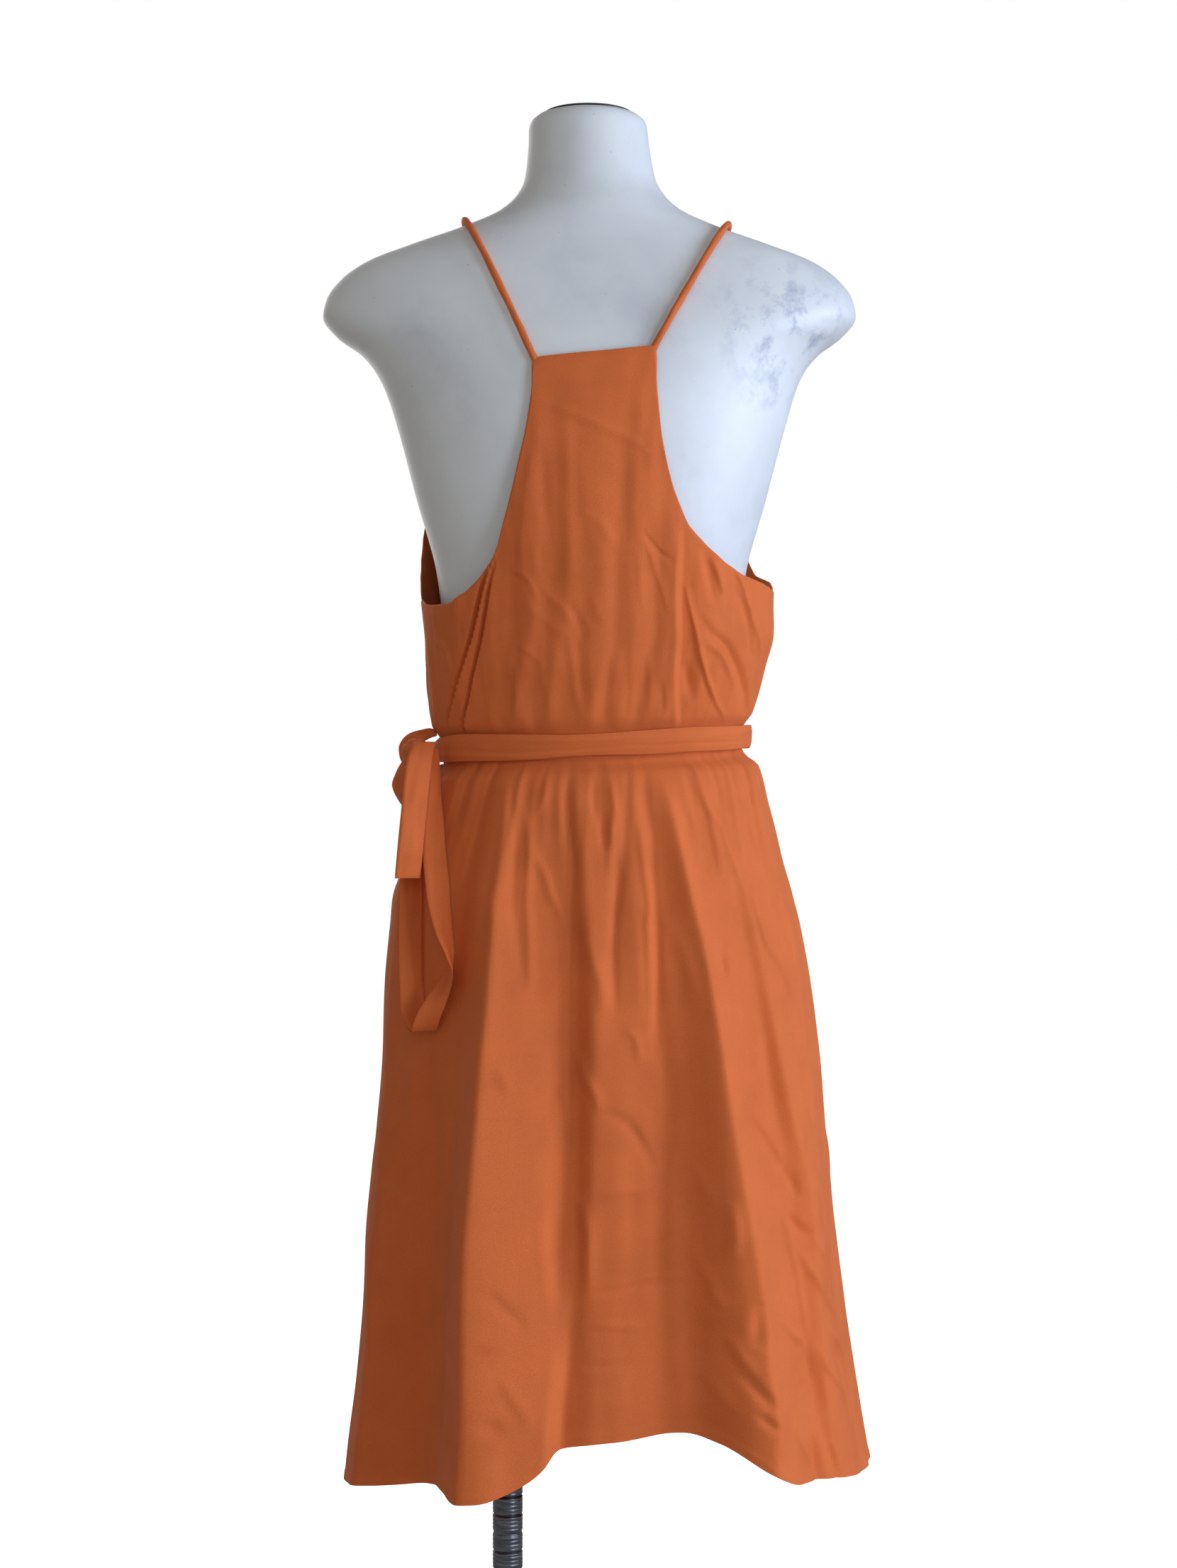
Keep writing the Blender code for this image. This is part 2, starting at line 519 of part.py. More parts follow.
def make_stand(group, steel, dark_steel):
    collar_top = FORM_BOTTOM_Z - SEAM_GAP
    flange = 0.005
    make_turned(group, "pole_collar",
                ((0.0, 0.0), (FLANGE_RADIUS, 0.0), (FLANGE_RADIUS, -flange), (SLEEVE_RADIUS, -1.6 * flange),
                 (SLEEVE_RADIUS, -COLLAR_LENGTH), (0.0, -COLLAR_LENGTH)),
                (POLE_X, 0.0, collar_top), dark_steel)

    socket_bottom = BASE_THICKNESS + SEAM_GAP
    socket_top = socket_bottom + SOCKET_HEIGHT
    pole_top = collar_top - COLLAR_LENGTH - SEAM_GAP
    pole_bottom = socket_top + SEAM_GAP
    profile = [(0.0, pole_top), (POLE_RADIUS, pole_top)]
    for ring in reversed(range(RING_COUNT)):
        z = LOWEST_RING_Z + RING_PITCH * ring
        profile += [(POLE_RADIUS, z + RING_HALF_WIDTH), (POLE_RADIUS - RING_DEPTH, z),
                    (POLE_RADIUS, z - RING_HALF_WIDTH)]
    profile += [(POLE_RADIUS, pole_bottom), (0.0, pole_bottom)]
    make_turned(group, "pole", profile, (POLE_X, 0.0, 0.0), steel, steps=12)

    bevel = 0.002
    make_turned(group, "pole_socket",
                ((0.0, socket_top), (SLEEVE_RADIUS - bevel, socket_top), (SLEEVE_RADIUS, socket_top - bevel),
                 (SLEEVE_RADIUS, socket_bottom + flange), (FLANGE_RADIUS, socket_bottom + flange / 2),
                 (FLANGE_RADIUS, socket_bottom), (0.0, socket_bottom)),
                (POLE_X, 0.0, 0.0), dark_steel)
    bevel = 0.003
    make_turned(group, "base_plate",
                ((0.0, BASE_THICKNESS), (BASE_RADIUS - bevel, BASE_THICKNESS),
                 (BASE_RADIUS, BASE_THICKNESS - bevel), (BASE_RADIUS, 0.0), (0.0, 0.0)),
                (0.0, 0.0, 0.0), dark_steel, steps=48)


# ------------------------------------------------------------------ the dress
def back_rows(rows, columns):
    """Rows of points from the waist up, in columns that end on the rim."""
    made = []
    for share in spread(0.0, 1.0, rows):
        row = []
        for number in spread(0, BACK_RIM[-1].number, columns):
            waist_angle, angle, z = (smooth_value(BACK_RIM, "number", name, number)
                                     for name in Rim._fields[1:])
            here = waist_angle + (angle - waist_angle) * ramp(share)
            row.append(bodice_point(here, waist_z(here) + (z - waist_z(here)) * share))
        made.append(row)
    return made


def front_rows(edges, rows, columns, over=False, mirrored=False):
    """Rows of points from the waist up, each from the side edge to the neckline."""
    made = []
    for share in spread(0.0, 1.0, rows):
        angle, z, other_angle, other_z = (smooth_value(edges, "share", name, share)
                                          for name in Edge._fields[1:])
        row = []
        for t in spread(0.0, 1.0, columns):
            here = angle + (other_angle - angle) * t
            here = 180.0 - here if mirrored else here
            slope = (waist_z(here) - WAIST_Z) * (1 - ramp(share / 0.5))
            row.append(bodice_point(here, z + (other_z - z) * t + slope, over))
        made.append(row)
    return made


def make_bodice(group, finish):
    gap = Vector((0, 0, SEAM_GAP))
    pieces = (
        ("bodice_back", back_rows(12, 44), False),
        ("bodice_front_left", front_rows(LEFT_FRONT_EDGES, 14, 18), True),
        ("bodice_front_right", front_rows(RIGHT_FRONT_EDGES, 14, 18, over=True, mirrored=True), False),
    )
    for name, rows, flip in pieces:
        rows = [[point + gap for point in row] for row in rows]
        rows = [list(reversed(row)) for row in rows] if flip else rows
        thicken(place(group, name, rows_to_mesh(name, rows), finish), CLOTH)


def skirt_rows(start_angle, end_angle, rows, columns, over=False):
    made = []
    for share in spread(0.0, 1.0, rows, power=1.25):
        row = []
        for angle in spread(start_angle, end_angle, columns):
            z = waist_z(angle) + (hem_z(angle) - waist_z(angle)) * share
            row.append(skirt_point(angle, z, over))
        made.append(row)
    made.reverse()
    return made


def make_skirt(group, finish):
    pieces = (
        ("skirt_back", skirt_rows(BACK_LEFT, BACK_RIGHT, 13, 50)),
        ("skirt_front_left", skirt_rows(SKIRT_UNDERLAP_END, FRONT_SIDE, 12, 30)),
        ("skirt_front_right", skirt_rows(180 - FRONT_SIDE, SKIRT_OVERLAP_END, 12, 32, over=True)),
    )
    for name, rows in pieces:
        thicken(place(group, name, rows_to_mesh(name, rows), finish), CLOTH)


def outside_form(point):
    """Under 1 inside the form, over 1 outside it."""
    section = section_at(FORM_SECTIONS, point.z)
    y = point.y - section.shift_y
    depth = section.back if y >= 0 else section.front + bust_rise(FORM_BUST, point.x, point.z)
    return abs(point.x / section.half_width) ** section.square + abs(y / depth) ** section.square


def over_form(x, lean, lift):
    """The form's skin where a ray inside it, leaning back from +Y by `lean` degrees, leaves it, moved out."""
    origin = Vector((x, 0.0, CHEST_Z))
    way = Vector((0.0, math.cos(math.radians(lean)), math.sin(math.radians(lean))))
    low, high = 0.02, 0.30           # along the ray, surely inside and surely outside
    for _ in range(30):
        middle = (low + high) / 2
        low, high = (middle, high) if outside_form(origin + way * middle) < 1 else (low, middle)
    skin = origin + way * high
    probe = 0.0015
    out = Vector(outside_form(skin + Vector(step)) - outside_form(skin - Vector(step))
                 for step in ((probe, 0, 0), (0, probe, 0), (0, 0, probe)))
    return skin + out.normalized() * lift


def make_strap(group, strap, finish):
    """A turned tube of cloth from the racer back's corner, over the shoulder, to the front."""
    lift = STRAP_RADIUS + STRAP_GAP
    shoulder_z = over_form(strap.shoulder_x, 90.0, lift).z
    points = []
    for lean in spread(strap.back_lean, strap.front_lean, 26):
        end_x, end_lean = (strap.back_x, strap.back_lean) if lean < 90 else (strap.front_x, strap.front_lean)
        end_z = over_form(end_x, end_lean, lift).z
        x = end_x
        for _ in range(4):           # the strap is straight between its end and the shoulder
            point = over_form(x, lean, lift)
            climbed = min(max((point.z - end_z) / (shoulder_z - end_z), 0.0), 1.0)
            x = end_x + (strap.shoulder_x - end_x) * climbed
        points.append(point)
    curve = bpy.data.curves.new(strap.name, "CURVE")
    curve.dimensions = "3D"
    curve.bevel_depth = STRAP_RADIUS
    curve.bevel_resolution = 2
    curve.use_fill_caps = True
    line = curve.splines.new("POLY")
    line.points.add(len(points) - 1)
    for spot, point in zip(line.points, points):
        spot.co = (*point, 1.0)
    return place(group, strap.name, curve, finish)


# ------------------------------------------------------------------ the sash
def make_sash_band(group, finish):
    rows = []
    for share in spread(-0.5, 0.5, 4):
        row = []
        for angle in spread(0, 360, 46)[:-1]:
            z = sash_middle_z(angle) + share * BAND_HEIGHT
            point, out = at_level(BODICE_SECTIONS, angle, max(z, waist_z(angle)))
            point.z = z
            towards_front = ramp(0.15 - 2.2 * math.sin(math.radians(angle)))
            crown = SASH_CROWN * (1 - (2 * share) ** 2)
            row.append(point + out * (SASH_LIFT + SASH_FRONT_LIFT * towards_front + crown))
        rows.append(row)
    thicken(place(group, "sash_band", rows_to_mesh("sash_band", rows, closed=True), finish), SASH_THICKNESS)


def ribbon_rows(stops, steps):
    """Cross rows of a ribbon, on a smooth curve through its stops."""
    Numbered = namedtuple("Numbered", ("number",) + Stop._fields)
    table = [Numbered(i, *stop) for i, stop in enumerate(stops)]
    rows = []
    for number in spread(0, len(stops) - 1, steps):
        x, y, z, width, face = (smooth_value(table, "number", name, number) for name in Stop._fields)
        sideways = Vector((math.cos(math.radians(face)), -math.sin(math.radians(face)), 0))
        rows.append([Vector((x, y, z)) + sideways * (width * t) for t in (-0.5, -0.17, 0.17, 0.5)])
    return rows


def make_sash_ends(group, finish):
    for name, stops, steps in (("sash_end", SASH_END, 10), ("sash_loop", SASH_LOOP, 38),
                               ("sash_small_loop", SMALL_LOOP, 16), ("sash_top_strand", TOP_STRAND, 10)):
        ribbon = place(group, name, rows_to_mesh(name, ribbon_rows(stops, steps)), finish)
        thicken(ribbon, SASH_THICKNESS, offset=0.0)

    shape = bmesh.new()
    bmesh.ops.create_icosphere(shape, subdivisions=2, radius=0.5)
    for vertex in shape.verts:
        vertex.co = Vector(vertex.co[i] * KNOT_SIZE[i] + KNOT_CENTRE[i] for i in range(3))
    mesh = bpy.data.meshes.new("sash_knot")
    shape.to_mesh(mesh)
    shape.free()
    place(group, "sash_knot", mesh, finish)


def main():
    clear_scene()
    group = new_collection("wrap_dress_on_form")
    cloth = material("orange_crepe", (0.62, 0.18, 0.065), 0.75)
    canvas = material("painted_canvas", (0.62, 0.63, 0.65), 0.6)
    steel = material("ringed_steel", (0.18, 0.19, 0.21), 0.3, 1.0)
    dark_steel = material("dark_steel", (0.06, 0.06, 0.065), 0.45, 1.0)
    make_form(group, canvas)
    make_neck_plate(group, dark_steel)
    make_stand(group, steel, dark_steel)
    make_bodice(group, cloth)
    make_skirt(group, cloth)
    for strap in STRAPS:
        make_strap(group, strap, cloth)
    make_sash_band(group, cloth)
    make_sash_ends(group, cloth)


main()
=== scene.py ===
# %% [markdown]
# # A wrap dress on a dress form
# The dress is orange crepe: a racer back that hangs from two cord straps, two wrapped fronts, a
# flared skirt gathered into the waist, and a sash that goes once round and is tied in a bow at the
# wearer's left. It is worn by a limbless painted form on a steel post with a flat round base.
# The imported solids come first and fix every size. What is modelled here is laid over them: cloth
# as thin sheets with their folds, the form's paint, the steel and the light.

import math
from collections import namedtuple

import bmesh
import bpy
import numpy as np
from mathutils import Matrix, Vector, noise


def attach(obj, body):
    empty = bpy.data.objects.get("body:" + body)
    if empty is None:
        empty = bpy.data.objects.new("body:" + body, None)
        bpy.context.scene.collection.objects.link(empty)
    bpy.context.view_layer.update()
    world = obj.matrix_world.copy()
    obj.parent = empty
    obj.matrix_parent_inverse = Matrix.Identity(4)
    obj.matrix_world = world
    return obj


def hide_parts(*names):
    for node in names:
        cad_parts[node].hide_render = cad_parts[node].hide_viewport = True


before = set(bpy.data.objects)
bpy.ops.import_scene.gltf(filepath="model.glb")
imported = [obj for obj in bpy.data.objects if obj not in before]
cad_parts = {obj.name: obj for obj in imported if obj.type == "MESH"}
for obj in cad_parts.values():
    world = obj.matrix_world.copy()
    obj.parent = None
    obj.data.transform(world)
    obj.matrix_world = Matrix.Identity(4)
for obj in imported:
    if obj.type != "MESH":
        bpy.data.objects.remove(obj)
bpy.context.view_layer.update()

# %% [markdown]
# ## The camera
# The photo looks straight at the back of the dress from two metres away, at the height of the
# waist. A long lens keeps the form's sides nearly parallel, so the camera needs no tilt.

# %% Make the camera
CAMERA_PLACE = (0.0022, 2.0, 1.0)
FOCAL_PIXELS = 3571.0       # the focal length in pixels of a frame 2212 pixels high
FRAME_PIXELS = 2212.0

camera_data = bpy.data.cameras.new("camera")
camera_data.sensor_fit = "AUTO"
camera_data.lens = camera_data.sensor_width * FOCAL_PIXELS / FRAME_PIXELS
camera = bpy.data.objects.new("camera", camera_data)
camera.location = CAMERA_PLACE
camera.rotation_euler = (math.radians(90), 0, math.radians(180))
bpy.context.scene.collection.objects.link(camera)
bpy.context.scene.camera = camera
bpy.context.scene.view_settings.view_transform = "Standard"
print("lens:", round(camera_data.lens, 1), "mm")

# %% [markdown]
# ## Numbers into curves
# A garment is a surface round a body, so its places are told by an angle round the body (0 at the
# wearer's left, 90 at the back, 180 at the right, 270 at the front) and a height. Short tables hold
# the body's sections. A smooth curve through each column, worked out for thousands of points at
# once with numpy, fills in between their rows.

# %% Read tables smoothly
def table(kind, rows):
    """Rows of plain numbers, each made into a named record."""
    return tuple(kind(*row) for row in rows)


def column(rows, name):
    return np.array([getattr(row, name) for row in rows], float)


def smooth_values(keys, values, at):
    """The values on a smooth curve through (keys, values) that never overshoots."""
    step = np.diff(keys)
    slope = np.diff(values) / step
    before, after = slope[:-1], slope[1:]
    same_way = before * after > 0
    middle = np.where(same_way, 2 * before * after / np.where(same_way, before + after, 1), 0)
    tangent = np.concatenate([slope[:1], middle, slope[-1:]])
    at = np.clip(at, keys[0], keys[-1])
    i = np.clip(np.searchsorted(keys, at) - 1, 0, len(step) - 1)
    t = (at - keys[i]) / step[i]
    return (values[i] * (1 + 2 * t) * (1 - t) ** 2 + tangent[i] * step[i] * t * (1 - t) ** 2
            + values[i + 1] * t * t * (3 - 2 * t) + tangent[i + 1] * step[i] * t * t * (t - 1))


def read(rows, key, name, at):
    """One column of a table, read at places along another column."""
    return smooth_values(column(rows, key), column(rows, name), np.asarray(at, float))


def ramp(t):
    """From 0 to 1, and flat at both ends."""
    t = np.clip(t, 0.0, 1.0)
    return t * t * (3 - 2 * t)


def angle_from(angle, middle):
    return (angle - middle + 180) % 360 - 180


def sine_of(angle):
    return np.sin(np.radians(angle))


print("halfway up, a ramp stands at", float(ramp(0.5)))

# %% [markdown]
# ## The body's sections
# These are the form's and the dress's own sizes, the same as the solids have. A section is an oval
# that is a little squarer than an ellipse, with its own depth behind and before the middle.

# %% Sections of the form, the bodice and the skirt
Section = namedtuple("Section", "z half_width back front shift_x shift_y square")

FORM_SECTIONS = table(Section, (
    (0.800, 0.118, 0.086, 0.070, 0.0, 0.0, 2.3),
    (0.806, 0.134, 0.100, 0.080, 0.0, 0.0, 2.3),
    (0.830, 0.146, 0.108, 0.086, 0.0, 0.0, 2.2),
    (0.880, 0.150, 0.109, 0.090, 0.0, 0.0, 2.1),
    (0.930, 0.140, 0.098, 0.090, 0.0, 0.0, 2.1),
    (0.980, 0.122, 0.080, 0.087, 0.0, 0.0, 2.1),
    (1.025, 0.111, 0.071, 0.084, 0.0, 0.0, 2.1),
    (1.065, 0.111, 0.074, 0.087, 0.0, 0.0, 2.1),
    (1.110, 0.115, 0.083, 0.093, 0.0, 0.0, 2.1),
    (1.166, 0.122, 0.092, 0.095, 0.0, 0.0, 2.1),
    (1.225, 0.138, 0.098, 0.092, 0.0, 0.0, 2.15),
    (1.278, 0.152, 0.100, 0.086, 0.0, 0.0, 2.2),
    (1.310, 0.162, 0.098, 0.079, 0.0005, 0.0, 2.25),
    (1.3254, 0.1695, 0.095, 0.076, 0.0010, 0.0, 2.3),
    (1.3394, 0.1810, 0.092, 0.072, 0.0010, 0.0, 2.35),
    (1.3534, 0.2000, 0.087, 0.069, 0.0015, 0.0, 2.4),
    (1.3674, 0.2100, 0.081, 0.064, 0.0015, 0.0, 2.4),
    (1.3814, 0.2070, 0.075, 0.060, 0.0015, 0.0, 2.4),
    (1.3954, 0.1970, 0.069, 0.054, 0.0015, 0.0, 2.35),
    (1.4094, 0.1785, 0.063, 0.049, 0.0015, -0.0005, 2.25),
    (1.4234, 0.1445, 0.058, 0.046, 0.0015, -0.0015, 2.1),
    (1.4374, 0.1055, 0.056, 0.044, 0.0010, -0.0035, 2.0),
    (1.4514, 0.0740, 0.055, 0.045, 0.0005, -0.006, 2.0),
    (1.4654, 0.0590, 0.052, 0.046, 0.0005, -0.009, 2.0),
    (1.4794, 0.0520, 0.050, 0.047, 0.0010, -0.011, 2.0),
    (1.5074, 0.0480, 0.0485, 0.047, 0.0020, -0.015, 2.0),
    (1.5214, 0.0470, 0.0475, 0.046, 0.0025, -0.016, 2.0),
    (1.5275, 0.0445, 0.0450, 0.044, 0.0025, -0.0165, 2.0),
    (1.5310, 0.0390, 0.0400, 0.039, 0.0025, -0.017, 2.0),
))
BODICE_SECTIONS = table(Section, (
    (1.0205, 0.1175, 0.0790, 0.0910, -0.0010, 0.0, 2.1),
    (1.0380, 0.1190, 0.0810, 0.0930, -0.0010, 0.0, 2.1),
    (1.0500, 0.1255, 0.0870, 0.0980, -0.0012, 0.0, 2.1),
    (1.0706, 0.1297, 0.0930, 0.1040, -0.0030, 0.0, 2.1),
    (1.0930, 0.1335, 0.0990, 0.1090, -0.0045, 0.0, 2.1),
    (1.1154, 0.1370, 0.1005, 0.1110, -0.0064, 0.0, 2.1),
    (1.1434, 0.1388, 0.1020, 0.1115, -0.0048, 0.0, 2.1),
    (1.1800, 0.1430, 0.1040, 0.1080, -0.0035, 0.0, 2.1),
    (1.2200, 0.1470, 0.1050, 0.1030, -0.0010, 0.0, 2.15),
    (1.2600, 0.1530, 0.1055, 0.0970, 0.0, 0.0, 2.2),
    (1.3000, 0.1640, 0.1045, 0.0900, 0.0, 0.0, 2.25),
    (1.3400, 0.1880, 0.0985, 0.0810, 0.0, 0.0, 2.3),
))
SKIRT_SECTIONS = table(Section, (
    (0.440, 0.2078, 0.1620, 0.1560, -0.0150, 0.0, 2.1),
    (0.488, 0.2012, 0.1580, 0.1510, -0.0130, 0.0, 2.1),
    (0.533, 0.1950, 0.1545, 0.1460, -0.0120, 0.0, 2.1),
    (0.578, 0.1895, 0.1510, 0.1410, -0.0105, 0.0, 2.1),
    (0.667, 0.1825, 0.1440, 0.1320, -0.0078, 0.0, 2.1),
    (0.757, 0.1742, 0.1370, 0.1240, -0.0085, 0.0, 2.1),
    (0.8466, 0.1672, 0.1280, 0.1170, -0.0045, 0.0, 2.1),
    (0.891, 0.1612, 0.1215, 0.1130, -0.0024, 0.0, 2.1),
    (0.914, 0.1572, 0.1180, 0.1110, -0.0008, 0.0, 2.1),
    (0.936, 0.1500, 0.1130, 0.1090, -0.0012, 0.0, 2.1),
    (0.981, 0.1360, 0.1010, 0.1050, -0.0022, 0.0, 2.1),
    (1.008, 0.1280, 0.0905, 0.0990, -0.0025, 0.0, 2.1),
    (1.0160, 0.1190, 0.0810, 0.0925, -0.0012, 0.0, 2.1),
    (1.0205, 0.1175, 0.0790, 0.0910, -0.0010, 0.0, 2.1),
))


def on_sections(sections, angle, z):
    """Points on the sections at angles and heights, and their outward directions."""
    half_width, back, front, shift_x, shift_y, square = (
        read(sections, "z", name, z) for name in Section._fields[1:])
    c, s = np.cos(np.radians(angle)), np.sin(np.radians(angle))
    depth = np.where(s >= 0, back, front)
    power = 2 / square
    x = half_width * np.copysign(np.abs(c) ** power, c)
    y = depth * np.copysign(np.abs(s) ** power, s)
    out_x = np.copysign(np.abs(c) ** (2 - power), c) / half_width
    out_y = np.copysign(np.abs(s) ** (2 - power), s) / depth
    length = np.hypot(out_x, out_y)
    out = np.stack([out_x / length, out_y / length, np.zeros_like(length)], -1)
    return np.stack([x + shift_x, y + shift_y, np.broadcast_to(z, x.shape)], -1), out


print("sections:", len(FORM_SECTIONS), "of the form,", len(BODICE_SECTIONS), "of the bodice,",
      len(SKIRT_SECTIONS), "of the skirt")

# %% [markdown]
# The form has soft bust mounds, and the cloth bridges them. The waist seam slopes, a little higher
# at the wearer's right, because the sash pulls it down to the knot.

# %% Bust, hem and waist
Bust = namedtuple("Bust", "height apart flat spread_x z spread_z")
FORM_BUST = Bust(height=0.030, apart=0.074, flat=0.0, spread_x=0.046, z=1.200, spread_z=0.050)
CLOTH_BUST = Bust(height=0.033, apart=0.0, flat=0.066, spread_x=0.052, z=1.196, spread_z=0.060)

Level = namedtuple("Level", "angle z")
HEM = table(Level, (
    (0, 0.458), (26, 0.467), (46, 0.476), (57, 0.481), (61, 0.479), (66, 0.480), (71, 0.486),
    (75, 0.4945), (77.2, 0.502), (79.4, 0.511), (82, 0.5135), (93, 0.518), (106, 0.523), (113, 0.517),
    (122, 0.496), (131, 0.483), (141, 0.480), (152, 0.474), (168, 0.466), (180, 0.462), (225, 0.457),
    (270, 0.456), (315, 0.457), (360, 0.458),
))
SASH_MIDDLE = table(Level, (
    (0, 1.0250), (30, 1.0262), (60, 1.0275), (90, 1.0292), (120, 1.0318), (150, 1.0350), (180, 1.0375),
    (225, 1.0380), (270, 1.0355), (330, 1.0275), (360, 1.0250),
))
SASH_ABOVE_WAIST = 0.0095   # from the waist seam up to the middle of the sash
WAIST_Z = 1.0205            # the seam's height in the tables of sections
SLOPE_REACH = 0.12          # the seam's slope dies away over this height
BACK_LEFT, BACK_RIGHT = -3.01, 183.01   # the side seams, where the back's edges lie
FRONT_SIDE = -2.99          # the same seam on the fronts, which overlap the back by a hair
WRAP_GAP = 0.0042
WRAP_SPREAD = 24.0          # the over front leaves the side seam over these degrees


def bust_rise(bust, x, z):
    across = np.maximum(0.0, np.abs(np.abs(x) - bust.apart) - bust.flat) / bust.spread_x
    return bust.height * np.exp(-across ** 2 - ((z - bust.z) / bust.spread_z) ** 2)


def hem_z(angle):
    return read(HEM, "angle", "z", angle % 360)


def sash_middle_z(angle):
    return read(SASH_MIDDLE, "angle", "z", angle % 360)


def waist_z(angle):
    return sash_middle_z(angle) - SASH_ABOVE_WAIST


def at_level(sections, angle, z):
    """A place on the sections, which follow the waist's slope near it."""
    waist = waist_z(angle)
    level = z - (waist - WAIST_Z) * (1 - ramp(np.abs(z - waist) / SLOPE_REACH))
    point, out = on_sections(sections, angle, level)
    point[..., 2] = z
    return point, out


def wrap_lift(angle):
    """How far the over front stands off the under front."""
    return WRAP_GAP * ramp((angle % 360 - BACK_RIGHT) / WRAP_SPREAD)


print("hem from", min(row.z for row in HEM), "to", max(row.z for row in HEM), "m above the floor")

# %% [markdown]
# ## How cloth folds
# Crepe that hangs doesn't wave like water. It falls in nearly flat faces that meet along lines:
# a line that stands out is a ridge, one that lies back is a valley. So a large fold is told here by
# the lines it runs along. Each line has a few turns, with the height above the floor, the angle
# round the body, how far it stands out, and how far it is pulled sideways, which lets a fold hang
# over its own valley. Between lines the cloth is straight, and a blur as wide as the line's softness
# rounds it. Heights and rises are in millimetres here, softness and angles in degrees.

# %% Fold lines
MM = 1000                   # millimetres in a metre
TURN_LEVELS = 64            # the heights at which the lines are read, from bottom to top
BLUR = ((-1.0, 1), (-0.6, 2), (-0.25, 3), (0.25, 3), (0.6, 2), (1.0, 1))   # share of softness, weight
PLEAT_SOFT = 0.36
PLEAT_PARTS = ((-1, 0.10, 0), (0, -1, 0), (1, 0.28, -0.45))   # a bank, the valley, a lapping edge
Turn = namedtuple("Turn", "z angle rise slide", defaults=(0.0,))


def fold_line(soft, *turns):
    """One fold line: its softness, then height, angle, rise and slide at each turn."""
    return soft, [Turn(z / MM, angle, rise / MM, *slide) for z, angle, rise, *slide in sorted(turns)]


def pleat(*turns):
    """The three lines of a pleat, from its height, angle, depth and half width at each turn."""
    made = []
    for side, rise, slide in PLEAT_PARTS:
        made.append(fold_line(PLEAT_SOFT, *((z, angle + side * half, rise * depth, slide * half)
                                            for z, angle, depth, half in turns)))
    return made


def fold_lines_at(lines, z):
    """Angle, rise, slide and softness of every line at one height, sorted round the body."""
    found = []
    for soft, turns in lines:
        found.append([read(turns, "z", name, z) for name in Turn._fields[1:]] + [soft])
    found = np.array(found, float)
    return found[np.argsort(found[:, 0])]


def blurred(table_at_level, part, angle):
    """One column of the fold lines at one height, straight between lines and then blurred."""
    keys = np.concatenate([table_at_level[:, 0] + turn for turn in (-360, 0, 360)])
    heights, softness = np.tile(table_at_level[:, part], 3), np.tile(table_at_level[:, 3], 3)
    softness = np.interp(angle, keys, softness)
    total = sum(weight * np.interp(angle + tap * softness, keys, heights) for tap, weight in BLUR)
    return total / sum(weight for tap, weight in BLUR)


def fold_shape(lines, angle, z):
    """Rise and sideways slide of a whole sheet of points, from its fold lines."""
    levels = np.linspace(z.min(), z.max(), TURN_LEVELS)
    tables = [fold_lines_at(lines, level) for level in levels]
    place = (z.ravel() - levels[0]) / (levels[1] - levels[0])
    low = np.clip(place.astype(int), 0, TURN_LEVELS - 2)
    share = place - low
    shapes = []
    for part in (1, 2):
        below, above = np.empty(z.size), np.empty(z.size)
        for i in np.unique(low):
            here = low == i
            below[here] = blurred(tables[i], part, angle.ravel()[here])
            above[here] = blurred(tables[i + 1], part, angle.ravel()[here])
        shapes.append((below * (1 - share) + above * share).reshape(z.shape))
    return shapes


print("a pleat is made of", len(pleat((1000, 90, 5, 1))), "fold lines")

# %% [markdown]
# Small creases are single strokes along a path of two or more places. Each has a height (a valley is
# negative), a width, and a lean, which makes one flank steeper than the other. It fades at its ends.
# What is left is unevenness that no one would draw: soft wrinkles, read from noise.

# %% Creases and wrinkles
Crease = namedtuple("Crease", "rise width path lean", defaults=(0.0,))
Wrinkle = namedtuple("Wrinkle", "rise across along seed")   # degrees across, metres along
REACH = 0.14                # from the body's axis, to turn degrees into metres round it
FLANK = 3.2                 # a crease is over at this many widths
PATH_STEPS = 4              # short straight steps from one place on its path to the next
END_FADE = 0.6              # the lower, the later a crease fades towards its ends
FAR = 9.0                   # farther than any point is from a crease


def creases(rows):
    """Creases from rows of rise, width, lean, then the angle and height of each place on the path."""
    made = []
    for rise, width, lean, *path in rows:
        places = [(angle, z / MM) for angle, z in zip(path[::2], path[1::2])]
        made.append(Crease(rise / MM, width / MM, places, lean))
    return made


def crease_path(row, reach):
    """The path in metres round the body and up, smoothed where it turns."""
    way = np.array([(math.radians(angle - row.path[0][0]) * reach, z) for angle, z in row.path])
    if len(way) > 2:
        number = np.arange(len(way))
        fine = np.linspace(0, len(way) - 1, PATH_STEPS * (len(way) - 1) + 1)
        way = np.stack([smooth_values(number, way[:, i], fine) for i in (0, 1)], -1)
    return way


